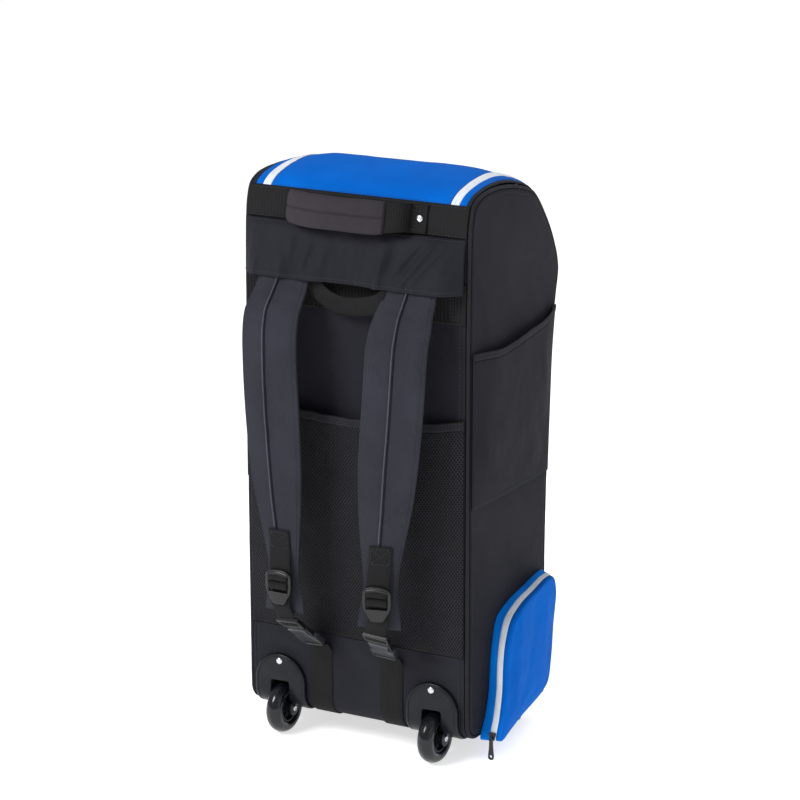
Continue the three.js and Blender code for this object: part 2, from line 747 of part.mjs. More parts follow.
function bladeShape() {
  const shape = roundedBox(lockWidth, lockHeight, lockCorner);
  const slotHalf = adjusterWidth / 2 + lockSlotEase;
  const slotHeight = (lockHeight - 4 * lockBar) / 3;
  for (let index = 0; index < 3; index += 1) {
    const top = lockHeight / 2 - lockBar - index * (slotHeight + lockBar);
    const hole = new THREE.Path();
    hole.moveTo(-slotHalf, top - slotHeight);
    hole.lineTo(slotHalf, top - slotHeight);
    hole.lineTo(slotHalf, top);
    hole.lineTo(-slotHalf, top);
    hole.closePath();
    shape.holes.push(hole);
  }
  return shape;
}

// The side-release clip: a body with waisted prong shoulders and a window. Drawn upright, head up.
function clipShape() {
  const half = clipWidth / 2;
  const length = clipLength / 2;
  const rows = [
    [0.8, 1], [1, 0.93], [1, 0.3], [0.78, 0.2], [0.78, -0.05], [1, -0.2], [1, -0.85], [0.85, -1],
  ];
  const right = rows.map(([x, y]) => new THREE.Vector2(half * x, length * y));
  const left = rows.map(([x, y]) => new THREE.Vector2(-half * x, length * y)).reverse();
  const shape = new THREE.Shape([...right, ...left]);
  const hole = new THREE.Path();
  const windowLow = -length * 0.72;
  hole.absellipse(0, windowLow + clipWindow / 2, clipWindow / 2, clipWindow / 2, 0, 2 * Math.PI, false, 0);
  shape.holes.push(hole);
  return shape;
}

const lockMiddle = lockTop - lockHeight / 2;
const adjusterSteps = 10;
const adjusterStraight = 0.65;
for (const { side, sign } of sides) {
  const rings = strapTable.map((row) => {
    const at = strapAt(side, sign, strapTop - strapDrop * row.down);
    return strapSection.map(([a, o]) => at.middle.clone()
      .addScaledVector(at.across, (a * at.width) / 2)
      .addScaledVector(at.out, (o * at.thick) / 2));
  });
  addPiece(`shoulder_strap_${side}`, loft(rings), padding);

  const lockPlace = strapAt(side, sign, lockMiddle);
  const lockSeat = lockPlace.middle.clone().addScaledVector(lockPlace.out, lockPlace.thick / 2 + lockStand);
  const lockUp = lockPlace.across.clone().cross(lockPlace.out).multiplyScalar(-1);
  const lockTurn = new THREE.Matrix4().makeBasis(lockPlace.across, lockUp, lockPlace.across.clone().cross(lockUp));
  const lock = new THREE.ExtrudeGeometry(bladeShape(), { depth: lockThick, bevelEnabled: false, curveSegments: 4 });
  const lockOutward = new THREE.Vector3().setFromMatrixColumn(lockTurn, 2).dot(lockPlace.out);
  lock.translate(0, 0, lockOutward > 0 ? 0 : -lockThick);
  lock.applyMatrix4(lockTurn).translate(lockSeat.x, lockSeat.y, lockSeat.z);
  addPiece(`ladder_lock_${side}`, lock, plastic);

  // The clip leans from the foot of the strap back to the lower panel.
  const clipHead = new THREE.Vector3(sign * strapSpread * clipTopSpread, -clipTopReach, clipTopHeight);
  const clipRun = clipTopHeight - clipFootHeight;
  const clipLean = Math.sqrt(clipLength ** 2 - clipRun ** 2 - (clipHead.x - sign * anchorSpread) ** 2);
  const clipFoot = new THREE.Vector3(sign * anchorSpread, clipHead.y + clipLean, clipFootHeight);
  const clipUp = clipHead.clone().sub(clipFoot).normalize();
  const clipAcross = new THREE.Vector3(1, 0, 0).addScaledVector(clipUp, -clipUp.x).normalize();
  const clipOut = clipAcross.clone().cross(clipUp).normalize();
  const clip = new THREE.ExtrudeGeometry(clipShape(), { depth: clipThick, bevelEnabled: false, curveSegments: 6 });
  clip.translate(0, 0, -clipThick / 2);
  const clipMiddle = clipHead.clone().add(clipFoot).multiplyScalar(0.5);
  clip.applyMatrix4(new THREE.Matrix4().makeBasis(clipAcross, clipUp, clipOut));
  clip.translate(clipMiddle.x, clipMiddle.y, clipMiddle.z);
  addPiece(`side_clip_${side}`, clip, plastic);

  // The tab leaves the face of the strap and ends behind the top bar of the ladder lock.
  // The adjuster webbing starts below it and runs down to the head of the clip.
  const onFace = (height, stand) => {
    const at = strapAt(side, sign, height);
    return at.middle.clone().addScaledVector(at.out, at.thick / 2 + stand);
  };
  const behindLock = (up, thick) => lockSeat.clone()
    .addScaledVector(lockUp, up)
    .addScaledVector(lockPlace.out, -layGap - thick / 2);
  const tabEnd = lockHeight / 2 - lockBar - tabLap;
  const tabPath = [
    onFace(tabTop, layGap + tabThick / 2),
    onFace((tabTop + lockTop) / 2, layGap + tabThick),
    behindLock(lockHeight / 2 + tabLap, tabThick),
    behindLock(tabEnd, tabThick),
  ];
  addPiece(`strap_tab_${side}`,
    loft(sweepRings(tabPath, () => lockPlace.across, flatSection(tabWidth, tabThick))), webbing);
  const headEdge = clipHead.clone().addScaledVector(clipUp, layGap + adjusterThick / 2);
  const adjusterPath = smoothPath([
    behindLock(tabEnd - tabLap, adjusterThick),
    behindLock(0, adjusterThick),
    behindLock(-lockHeight / 2, adjusterThick),
    headEdge.clone().lerp(behindLock(-lockHeight / 2, adjusterThick), 0.4),
    headEdge,
  ], adjusterSteps);
  const adjusterAcross = (index) => lockPlace.across.clone()
    .lerp(clipAcross, Math.max(0, index / adjusterSteps - adjusterStraight) / (1 - adjusterStraight)).normalize();
  addPiece(`adjuster_webbing_${side}`,
    loft(sweepRings(adjusterPath, adjusterAcross, flatSection(adjusterWidth, adjusterThick))), webbing);

  // Anchor webbing from the foot of the clip, down the lower panel and under the base
  const lie = seamGap + anchorThick / 2;
  const footEdge = clipFoot.clone().addScaledVector(clipUp, -layGap - anchorThick / 2);
  const anchorX = sign * anchorSpread;
  const anchorFall = -footEdge.y - lie;
  const anchorPath = [
    footEdge,
    new THREE.Vector3(anchorX, -lie - anchorFall / 2, footEdge.z - anchorFall / 2),
    new THREE.Vector3(anchorX, -lie, footEdge.z - anchorFall * 1.2),
    new THREE.Vector3(anchorX, -lie, footEdge.z * 0.5),
    new THREE.Vector3(anchorX, -lie, 0),
    new THREE.Vector3(anchorX, 0, -lie),
    new THREE.Vector3(anchorX, anchorUnder / 2, -lie),
    new THREE.Vector3(anchorX, anchorUnder, -lie),
  ];
  const level = new THREE.Vector3(1, 0, 0);
  const anchorAcross = (index) => clipAcross.clone().lerp(level, Math.min(1, index / 2)).normalize();
  addPiece(`anchor_webbing_${side}`,
    loft(sweepRings(anchorPath, anchorAcross, flatSection(anchorWidth, anchorThick))), webbing);
}

// Slip pockets: a sheet over each side panel, sewn at its foot and ends, open under a bound hem.
// Columns: across is a share of the depth, rise a share of the hem's lift.
const slipHem = [
  { across: 0, rise: 0.14 },
  { across: 0.22, rise: 0.04 },
  { across: 0.45, rise: 0 },
  { across: 0.7, rise: 0.32 },
  { across: 0.88, rise: 0.64 },
  { across: 1, rise: 1 },
];
const slipCols = 8;
const slipInset = 2 * pipingRadius + seamGap;
const slipSpread = (across) => 1 - Math.abs(2 * across - 1) ** 4;
function slipPoint(sign, across, height, reach, offset) {
  const back = backAt(height) + slipInset;
  const front = frontAt(height) - slipInset;
  const y = back + (front - back) * across;
  return new THREE.Vector3(sign * (halfBody + sidePuffAt(y, height) + layGap + reach * slipSpread(across) + offset), y, height);
}
for (const { side, sign } of sides) {
  const hemTop = (across) => slipHemHeight + slipHemLift * lookUp(slipHem, "across", "rise", across);
  const wallPoint = (offset) => (r, c) => {
    const top = hemTop(c) - hemWidth - seamGap;
    const reach = slipReach * Math.sin((Math.PI / 2) * r);
    return slipPoint(sign, c, slipFloor + (top - slipFloor) * r, reach, offset);
  };
  const hemPoint = (offset) => (r, c) => slipPoint(sign, c, hemTop(c) - hemWidth * (1 - r), slipReach, offset);
  addPiece(`slip_pocket_${side}`, sheet(5, slipCols, wallPoint(clothWall), wallPoint(0)), blackCloth);
  addPiece(`slip_hem_${side}`, sheet(1, slipCols, hemPoint(hemThick), hemPoint(0)), webbing);
}

// Shoe pocket. Its wall runs from an outline on the side panel to a smaller outline at its face.
// Columns: y and z on the side, then y and z at the face, as shares of its depth and height.
const bootTable = [
  { sideY: 0, sideZ: 0, faceY: 0, faceZ: 0.015 },
  { sideY: 0.06, sideZ: 0.167, faceY: 0.04, faceZ: 0.167 },
  { sideY: 0.1, sideZ: 0.343, faceY: 0.078, faceZ: 0.333 },
  { sideY: 0.112, sideZ: 0.566, faceY: 0.098, faceZ: 0.576 },
  { sideY: 0.141, sideZ: 0.707, faceY: 0.132, faceZ: 0.717 },
  { sideY: 0.2, sideZ: 0.843, faceY: 0.205, faceZ: 0.838 },
  { sideY: 0.366, sideZ: 0.919, faceY: 0.351, faceZ: 0.919 },
  { sideY: 0.595, sideZ: 0.96, faceY: 0.546, faceZ: 0.965 },
  { sideY: 0.795, sideZ: 0.995, faceY: 0.702, faceZ: 1 },
  { sideY: 0.92, sideZ: 0.985, faceY: 0.79, faceZ: 0.99 },
  { sideY: 0.965, sideZ: 0.9, faceY: 0.829, faceZ: 0.889 },
  { sideY: 0.96, sideZ: 0.63, faceY: 0.79, faceZ: 0.65 },
  { sideY: 0.96, sideZ: 0.32, faceY: 0.76, faceZ: 0.4 },
  { sideY: 0.96, sideZ: 0.12, faceY: 0.712, faceZ: 0.232 },
  { sideY: 0.9, sideZ: 0.03, faceY: 0.62, faceZ: 0.182 },
  { sideY: 0.7, sideZ: 0, faceY: 0.473, faceZ: 0.141 },
  { sideY: 0.4, sideZ: 0, faceY: 0.302, faceZ: 0.1 },
  { sideY: 0.18, sideZ: 0, faceY: 0.137, faceZ: 0.05 },
];
const bootPoints = 20;
const bootOutline = (column) => {
  const ring = bootTable.map((row) => new THREE.Vector3(
    0, bootBack + bootDepth * row[`${column}Y`], bootFloor + bootHeight * row[`${column}Z`]));
  return new THREE.CatmullRomCurve3(ring, true, "centripetal").getPoints(bootPoints).slice(0, -1);
};
const bootSide = bootOutline("side");
const bootFace = bootOutline("face");
const bootMiddle = new THREE.Vector3(
  0, bootBack + bootDepth * bootMiddleDepth, bootFloor + bootHeight * bootMiddleHeight);

// A point of the pocket's wall: reach from the side panel, scaled towards the middle, set in by a wall.
function bootPoint(col, reach, share = 1, inset = 0) {
  const rim = bootSide[col].clone().lerp(bootFace[col], reach / bootReach);
  const point = rim.clone().sub(bootMiddle).multiplyScalar(share).add(bootMiddle);
  const inward = bootMiddle.clone().sub(rim).normalize();
  point.addScaledVector(inward, inset * share);
  const lift = reach < seamGap ? sidePuffAt(point.y, Math.max(point.z, 0)) + layGap : reach;
  point.x = halfBody + lift;
  return point;
}
const bootRing = (from, to, proud = 0) => {
  const wallAt = (inset) => (r, c, row, col) => bootPoint(col, from + (to - from) * r, 1, inset);
  return sheet(2, bootSide.length, wallAt(-proud), wallAt(clothWall), { wrap: true });
};
const bootZipEnd = bootZipStart + bootZipWidth;
addPiece("boot_gusset", bootRing(0, bootZipStart - halfSeam), blueCloth);
addPiece("boot_zip", bootRing(bootZipStart + halfSeam, bootZipEnd - halfSeam, lidZipLift), zipTape);

// The face panel turns over the rim of the wall and closes on its middle, slightly domed.
const bootFaceShares = [
  { reach: bootZipEnd + halfSeam, share: 1 },
  { reach: bootReach, share: 1 },
  { reach: bootReach + bootDome * 0.45, share: 0.85 },
  { reach: bootReach + bootDome * 0.85, share: 0.5 },
];
const bootFacePoint = (inset) => (r, c, row, col) => {
  const { reach, share } = bootFaceShares[row];
  const point = bootPoint(col, Math.min(reach, bootReach), share, inset);
  point.x = halfBody + reach - (row === 0 ? 0 : inset);
  return point;
};
const bootTip = (inset) => new THREE.Vector3(halfBody + bootReach + bootDome - inset, bootMiddle.y, bootMiddle.z);
addPiece("boot_face", sheet(bootFaceShares.length - 1, bootSide.length, bootFacePoint(0), bootFacePoint(clothWall), {
  wrap: true,
  apex: { outer: bootTip(0), inner: bootTip(clothWall) },
}), blueCloth);

// Slider and puller at the lower end of the pocket's zip, at its rear corner
const sliderPlace = bootPoint(0, (bootZipStart + bootZipEnd) / 2);
const sliderOut = sliderPlace.y - lidZipLift - seamGap;
addPiece("zip_slider", boxBetween(
  [sliderPlace.x - bootZipWidth / 2, sliderOut - pullerThick, sliderPlace.z + layGap],
  [sliderPlace.x + bootZipWidth / 2, sliderOut, sliderPlace.z + sliderLength + layGap],
), plastic);
const puller = new THREE.ExtrudeGeometry(roundedBox(pullerWidth, pullerLength, pullerWidth / 3), {
  depth: pullerThick, bevelEnabled: false, curveSegments: 3,
});
puller.rotateX(Math.PI / 2);
puller.translate(sliderPlace.x, sliderOut - pullerThick - seamGap, sliderPlace.z + sliderLength / 2 - pullerLength / 2);
addPiece("zip_puller", puller, plastic);

// Wheel housings: an arched plate on the back with a slot, a well behind it and the axle's ears
const arch = new THREE.Shape();
const archRadius = housingWidth / 2;
arch.moveTo(-archRadius, 0);
arch.lineTo(archRadius, 0);
arch.absarc(0, housingHeight - archRadius, archRadius, 0, Math.PI);
arch.closePath();

const slotHalf = hubWidth / 2 + cheekGap;
const slotCornerX = slotHalf - housingSlotCorner;
const slotCornerZ = housingSlotTop - housingSlotCorner;
const slot = new THREE.Shape();
slot.moveTo(-slotHalf, -axleHeight);
slot.lineTo(slotHalf, -axleHeight);
slot.absarc(slotCornerX, slotCornerZ, housingSlotCorner, 0, Math.PI / 2);
slot.absarc(-slotCornerX, slotCornerZ, housingSlotCorner, Math.PI / 2, Math.PI);
slot.closePath();

function wellShape(radius) {
  const shape = new THREE.Shape();
  shape.moveTo(-seamGap, 0);
  shape.lineTo(axleSetback + radius, 0);
  shape.lineTo(axleSetback + radius, axleHeight);
  shape.absarc(axleSetback, axleHeight, radius, 0, Math.PI / 2);
  shape.lineTo(-seamGap, axleHeight + radius);
  shape.closePath();
  return shape;
}

const axleDisc = (radius, from, to) => new THREE.CylinderGeometry(radius, radius, to - from, 12)
  .rotateZ(Math.PI / 2).translate((from + to) / 2, axleSetback, axleHeight);

function housing() {
  const cutDepth = 3 * housingStand;
  const plate = asSolid(extrudeTowardsBack(arch, -seamGap, -seamGap - housingStand));
  const well = asSolid(extrudeAlongX(wellShape(wellRadius + cheekThick), -wellHalf, wellHalf));
  const ears = asSolid(axleDisc(earRadius, -wellHalf, wellHalf));
  const hollow = asSolid(extrudeAlongX(wellShape(wellRadius), -slotHalf, slotHalf));
  const mouth = asSolid(extrudeTowardsBack(slot, wellRadius, -cutDepth));
  const foot = asSolid(boxBetween(
    [-slotHalf, -cutDepth, -2 * earRadius], [slotHalf, axleSetback + wellRadius, axleHeight]));
  const bore = asSolid(axleDisc(axleRadius + boreGap, -2 * wellHalf, 2 * wellHalf));
  return asGeometry(plate.add(well).add(ears).subtract(hollow).subtract(mouth).subtract(foot).subtract(bore));
}

// Lathe profiles are turned about Y and then laid along X.
function turned(profile, segments) {
  const points = profile.map(([radius, along]) => new THREE.Vector2(radius, along));
  return new THREE.LatheGeometry(points, segments).rotateZ(-Math.PI / 2).translate(0, axleSetback, axleHeight);
}

const treadHalf = wheelWidth / 2;
const tyreSeat = hubRadius + seamGap;
const tyreDepth = wheelRadius - tyreSeat;
// Columns: radius is a share of the tyre's depth, along a share of half its width.
const tyreProfile = [
  [0, -0.72], [0.3, -0.96], [0.6, -0.98], [0.84, -0.76], [0.96, -0.42], [1, 0],
  [0.96, 0.42], [0.84, 0.76], [0.6, 0.98], [0.3, 0.96], [0, 0.72], [0, -0.72],
].map(([radius, along]) => [tyreSeat + tyreDepth * radius, treadHalf * along]);
const hubBore = axleRadius + boreGap;
const hubRimInner = hubRadius - hubRimThick;
const hubProfile = [
  [hubBore, -hubWidth / 2], [hubBarrelRadius, -hubWidth / 2], [hubBarrelRadius, -hubWeb / 2],
  [hubRimInner, -hubWeb / 2], [hubRimInner, -hubRimWidth / 2], [hubRadius, -hubRimWidth / 2],
  [hubRadius, hubRimWidth / 2], [hubRimInner, hubRimWidth / 2], [hubRimInner, hubWeb / 2],
  [hubBarrelRadius, hubWeb / 2], [hubBarrelRadius, hubWidth / 2], [hubBore, hubWidth / 2], [hubBore, -hubWidth / 2],
];
const headSeat = wellHalf + seamGap;
const axleProfile = [
  [0, -headSeat - axleHeadThick], [axleHeadRadius, -headSeat - axleHeadThick], [axleHeadRadius, -headSeat],
  [axleRadius, -headSeat], [axleRadius, headSeat], [axleHeadRadius, headSeat],
  [axleHeadRadius, headSeat + axleHeadThick], [0, headSeat + axleHeadThick],
];
const wheelSegments = 18;
const axleSegments = 10;

for (const { side, sign } of sides) {
  const station = sign * wheelSpread;
  addPiece(`wheel_housing_${side}`, housing().translate(station, 0, 0), housingPlastic);
  const rivetSeat = new THREE.Vector3(station, -housingStand - 2 * seamGap, housingRivetHeight);
  addPiece(`housing_rivet_${side}`, rivet(rivetSeat, new THREE.Vector3(0, -1, 0)), steel);
  addPiece(`axle_${side}`, turned(axleProfile, axleSegments).translate(station, 0, 0), steel);
  addPiece(`wheel_hub_${side}`, turned(hubProfile, wheelSegments).translate(station, 0, 0), housingPlastic);
  addPiece(`wheel_tyre_${side}`, turned(tyreProfile, wheelSegments).translate(station, 0, 0), rubber);
}

// Front feet, which keep the base level with the wheels
for (const { side, sign } of sides) {
  const block = new THREE.ExtrudeGeometry(roundedBox(footLength, footWidth, footCorner), {
    depth: -floorHeight - seamGap, bevelEnabled: false, curveSegments: 3,
  });
  addPiece(`foot_${side}`, block.translate(sign * footSpread, footSetback, floorHeight), plastic);
}

// Stand the bag on the floor, with the middle of its box over the origin.
bag.updateMatrixWorld(true);
const span = new THREE.Box3().setFromObject(bag, true);
bag.position.set(-(span.min.x + span.max.x) / 2, -(span.min.y + span.max.y) / 2, -span.min.z);

export default bag;
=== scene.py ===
# %% [markdown]
# A wheeled cricket kit bag, dressed for its portrait.
#
# The bag is a tall cloth box with a domed blue lid, two padded shoulder straps, a haul handle,
# a shoe pocket on one side and two small wheels at the foot of its back. The CAD model already
# fixes every size and place. Here each piece gets the surface that the real cloth, webbing and
# plastic have: folds, seams, stitches, ribs, weave and gloss.

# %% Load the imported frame
import bisect
import math

import bmesh
import bpy
from mathutils import Matrix, Quaternion, Vector, noise


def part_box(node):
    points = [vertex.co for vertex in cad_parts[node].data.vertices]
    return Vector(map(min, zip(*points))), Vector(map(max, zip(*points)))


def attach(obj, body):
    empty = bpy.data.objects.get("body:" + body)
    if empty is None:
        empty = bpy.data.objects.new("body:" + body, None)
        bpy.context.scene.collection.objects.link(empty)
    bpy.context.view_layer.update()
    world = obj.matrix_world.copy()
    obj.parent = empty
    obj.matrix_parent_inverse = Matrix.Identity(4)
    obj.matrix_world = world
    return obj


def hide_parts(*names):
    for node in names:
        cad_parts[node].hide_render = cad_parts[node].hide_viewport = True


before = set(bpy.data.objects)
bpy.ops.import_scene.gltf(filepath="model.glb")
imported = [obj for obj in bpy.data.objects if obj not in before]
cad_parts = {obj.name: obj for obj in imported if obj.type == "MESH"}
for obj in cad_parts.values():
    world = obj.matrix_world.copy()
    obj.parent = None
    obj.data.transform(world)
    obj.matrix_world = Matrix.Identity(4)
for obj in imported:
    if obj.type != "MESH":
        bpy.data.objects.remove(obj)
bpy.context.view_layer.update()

# %% [markdown]
# The bag was drawn facing its straps, in millimetres: x runs to the right, y runs away from the
# viewer with the back panel at zero, and z runs up from the underside of the base. Keeping that
# frame makes every number here a size that can be measured on the bag. The wheels show where
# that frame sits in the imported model, because their common axle has a known place in both.

# %% The bag's own frame
AXLE_SETBACK = 4
AXLE_HEIGHT = 1
WHEEL_SPREAD = 125.5
WHEEL_RADIUS = 38
RIGHT = Vector((1, 0, 0))
FORWARD = Vector((0, 1, 0))
UP = Vector((0, 0, 1))
SIDES = (("left", -1), ("right", 1))


def middle_of(node):
    low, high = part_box(node)
    return (Vector(low) + Vector(high)) / 2


axle_middle = (middle_of("wheel_tyre_left") + middle_of("wheel_tyre_right")) / 2
bag_origin = axle_middle - Vector((0, AXLE_SETBACK, AXLE_HEIGHT)) / 1000


def at(x, y, z):
    """A place on the bag in millimetres, as metres in the shared frame."""
    return bag_origin + Vector((x, y, z)) / 1000


print("bag frame starts at", [round(value, 4) for value in bag_origin])

# %% [markdown]
# The camera stands behind the bag, to the right of it and a little above, with a long lens from
# over four metres away, so the verticals barely converge. Its place was found by matching
# seams, corners and wheels with their places in the picture.

# %% Camera
CAMERA_PLACE = (2118.5, -3642.1, 1633.1)
CAMERA_YAW = math.radians(29.33)
CAMERA_PITCH = math.radians(15.28)
CAMERA_ROLL = math.radians(-0.17)

camera_data = bpy.data.cameras.new("portrait camera")
camera_data.lens = 140.2
camera_data.sensor_width = 36
camera_data.clip_end = 60
camera = bpy.data.objects.new("portrait camera", camera_data)
bpy.context.scene.collection.objects.link(camera)
looking = Vector((
    -math.sin(CAMERA_YAW) * math.cos(CAMERA_PITCH),
    math.cos(CAMERA_YAW) * math.cos(CAMERA_PITCH),
    -math.sin(CAMERA_PITCH),
))
camera.rotation_mode = "QUATERNION"
camera.rotation_quaternion = looking.to_track_quat("-Z", "Y") @ Quaternion((0, 0, 1), CAMERA_ROLL)
camera.location = at(*CAMERA_PLACE)
bpy.context.scene.camera = camera
print("camera at", [round(value, 3) for value in camera.location])

# %% [markdown]
# The studio is a pale floor under an even white sky, as on a product page. Dark cloth only shows
# its folds when light rakes across it, so one large soft lamp stands high on the left of the
# camera, a weaker one fills from the right, and a third skims over the lid from the far side.

# %% Floor and lights
FLOOR_SIZE = 40
FLOOR_GLOW = 0.62
SKY_STRENGTH = 0.42
world = bpy.data.worlds.new("white sky")
world.use_nodes = True
world.node_tree.nodes["Background"].inputs["Color"].default_value = (1, 1, 1, 1)
world.node_tree.nodes["Background"].inputs["Strength"].default_value = SKY_STRENGTH
bpy.context.scene.world = world
bpy.context.scene.view_settings.view_transform = "Standard"

floor_mesh = bpy.data.meshes.new("studio floor")
floor_half = FLOOR_SIZE / 2
floor_corners = [(x * floor_half, y * floor_half, 0) for x, y in ((-1, -1), (1, -1), (1, 1), (-1, 1))]
floor_mesh.from_pydata(floor_corners, [], [(0, 1, 2, 3)])
floor = bpy.data.objects.new("studio floor", floor_mesh)
bpy.context.scene.collection.objects.link(floor)
floor_finish = bpy.data.materials.new("pale floor")
floor_finish.use_nodes = True
floor_shader = floor_finish.node_tree.nodes["Principled BSDF"]
floor_shader.inputs["Base Color"].default_value = (0.86, 0.865, 0.87, 1)
floor_shader.inputs["Roughness"].default_value = 0.9
floor_shader.inputs["Specular IOR Level"].default_value = 0.1
floor_shader.inputs["Emission Color"].default_value = (1, 1, 1, 1)
floor_shader.inputs["Emission Strength"].default_value = FLOOR_GLOW
floor_mesh.materials.append(floor_finish)

# Columns: name, place on the bag in millimetres, side of the lamp in metres, power in watts
LAMPS = [
    ("key lamp", (-1500, -3000, 2900), 1.5, 130),
    ("fill lamp", (2900, -1500, 1500), 2.6, 10),
    ("lid lamp", (900, 2300, 2500), 1.8, 30),
]
lamp_target = at(0, 100, 420)
for lamp_name, lamp_place, lamp_side, lamp_power in LAMPS:
    lamp_data = bpy.data.lights.new(lamp_name, "AREA")
    lamp_data.size = lamp_side
    lamp_data.energy = lamp_power
    lamp = bpy.data.objects.new(lamp_name, lamp_data)
    lamp.location = at(*lamp_place)
    lamp.rotation_euler = (lamp_target - lamp.location).to_track_quat("-Z", "Y").to_euler()
    bpy.context.scene.collection.objects.link(lamp)
    print(lamp_name, "at", [round(value, 2) for value in lamp.location])

# %% [markdown]
# Every finish is a small tree of shader nodes. Cloth pieces carry a map of their own flat cut, in
# metres, so a weave, a rib or a net drawn on that map has its real pitch and follows the cloth
# round every curve. Noise on the object's own place gives the slow changes of shade that a
# single flat colour lacks. These few helpers keep the trees short to write.

# %% Helpers for the finishes
def colour(red, green, blue):
    """A colour as seen on a screen, 0 to 255, in the linear values that shaders use."""
    linear = []
    for value in (red / 255, green / 255, blue / 255):
        linear.append(value / 12.92 if value <= 0.04045 else ((value + 0.055) / 1.055) ** 2.4)
    return (*linear, 1)


class Finish:
    """A material whose nodes are added one after the other."""

    def __init__(self, name, roughness, **sockets):
        self.material = bpy.data.materials.new(name)
        self.material.use_nodes = True
        self.tree = self.material.node_tree
        self.shader = self.tree.nodes["Principled BSDF"]
        self.shader.inputs["Roughness"].default_value = roughness
        for socket, value in sockets.items():
            self.shader.inputs[socket.replace("_", " ").title().replace("Ior", "IOR")].default_value = value

    def node(self, kind, inputs=(), **settings):
        made = self.tree.nodes.new("ShaderNode" + kind)
        for setting, value in settings.items():
            setattr(made, setting, value)
        for key, value in dict(inputs).items():
            self.feed(made.inputs[key], value)
        return made

    def feed(self, socket, value):
        if isinstance(value, bpy.types.NodeSocket):
            self.tree.links.new(value, socket)
        else:
            socket.default_value = value

    def math(self, operation, first, second=0.0, third=None):
        inputs = {0: first, 1: second}
        if third is not None:
            inputs[2] = third
        return self.node("Math", inputs, operation=operation).outputs[0]

    def times(self, first, second):
        return self.math("MULTIPLY", first, second)

    def weigh(self, value, weight, rest):
        """A value times its weight, plus the rest."""
        return self.math("MULTIPLY_ADD", value, weight, rest)

    def wave(self, value, period):
        return self.math("SINE", self.times(value, 2 * math.pi / period))

    def cloth_map(self):
        """Across and along the cloth, in millimetres."""
        split = self.node("SeparateXYZ", {0: self.node("UVMap", uv_map="cut").outputs[0]})
        return self.times(split.outputs[0], 1000.0), self.times(split.outputs[1], 1000.0)

    def cloud(self, size, detail=3.0, stretch=(1, 1, 1)):
        """Soft noise on the object's own place. The size is in millimetres."""
        place = self.node("TexCoord").outputs["Object"]
        sized = self.node("Mapping", {"Vector": place, "Scale": tuple(1000 / size * s for s in stretch)})
        return self.node("TexNoise", {"Vector": sized.outputs[0], "Scale": 1.0, "Detail": detail}).outputs[0]

    def between(self, share, low, high, from_low=0.0, from_high=1.0):
        inputs = {0: share, 1: from_low, 2: from_high, 3: low, 4: high}
        return self.node("MapRange", inputs).outputs[0]

    def paint(self, share, dark, light):
        """The base colour, from dark to light by a share. Both are colours as seen on a screen."""
        made = self.node("Mix", {0: share, 6: colour(*dark), 7: colour(*light)}, data_type="RGBA")
        self.feed(self.shader.inputs["Base Color"], made.outputs[2])

    def dull(self, value):
        self.feed(self.shader.inputs["Roughness"], value)

    def bump(self, height, depth, strength=1.0):
        """Relief from a height of 0 to 1, with its depth in millimetres. Calls stack."""
        made = self.node("Bump", {"Height": height, "Distance": depth / 1000, "Strength": strength})
        under = self.shader.inputs["Normal"]
        if under.is_linked:
            self.tree.links.new(under.links[0].from_socket, made.inputs["Normal"])
        self.tree.links.new(made.outputs[0], under)


# %% [markdown]
# The body, the straps and the lid are plain-woven polyester, the straps and the lid in a finer
# yarn. A plain weave is threads going over and under one another, which on the flat map is one
# wave across times one wave along. The thread crowns catch the light and their gaps stay dark,
# so the same wave makes both the relief and a small change of shade. A broad cloud of noise
# stands for handling and dust, and a short-range one for uneven yarn.

# %% Plain-woven cloth
def woven_cloth(name, dark, light, pitch, roughness, sheen, relief=0.12, gloss=0.16):
    finish = Finish(name, roughness, sheen_weight=sheen, sheen_roughness=0.45, specular_ior_level=gloss)
    finish.shader.inputs["Sheen Tint"].default_value = colour(*light)
    across, along = finish.cloth_map()
    threads = finish.weigh(finish.times(finish.wave(across, pitch), finish.wave(along, pitch)), 0.5, 0.5)
    slubs = finish.cloud(2.2, 4.0, (1, 1, 0.25))
    handling = finish.between(finish.cloud(85, 4.0), 0.0, 1.0, 0.32, 0.7)
    shade = finish.weigh(handling, 0.35, finish.weigh(slubs, 0.55, finish.times(threads, 0.25)))
    finish.paint(shade, dark, light)
    finish.dull(finish.between(slubs, roughness - 0.06, roughness + 0.06, 0.3, 0.7))
    finish.bump(threads, relief)
    finish.bump(slubs, 0.16, 0.6)
    return finish.material


BODY_CLOTH = woven_cloth("black body cloth", (17, 17, 22), (39, 39, 48), 0.9, 0.8, 0.03)
STRAP_CLOTH = woven_cloth("strap cloth", (28, 29, 35), (54, 55, 64), 0.7, 0.85, 0.05)
# A lighter copy of the strap cloth for the seam cord: painted highlight on the seam's raised edge.
SEAM_HIGHLIGHT_CLOTH = woven_cloth("strap seam cord painted lighter", (52, 53, 61), (84, 86, 96), 0.7, 0.8, 0.05)
SLEEVE_CLOTH = woven_cloth("handle sleeve cloth", (32, 30, 33), (58, 54, 60), 0.7, 0.85, 0.05)
BLUE_CLOTH = woven_cloth("blue cloth", (0, 80, 174), (0, 108, 210), 0.8, 0.6, 0.0, 0.08, 0.04)
# The shoe pocket's gusset is a lighter copy of the blue cloth: painted light, for the light that falls on its wall.
LIT_GUSSET_CLOTH = woven_cloth("blue gusset cloth painted lighter", (0, 104, 208), (0, 136, 246), 0.8, 0.6, 0.0, 0.08, 0.04)
print("woven finishes:", BODY_CLOTH.name, STRAP_CLOTH.name, SLEEVE_CLOTH.name, BLUE_CLOTH.name)
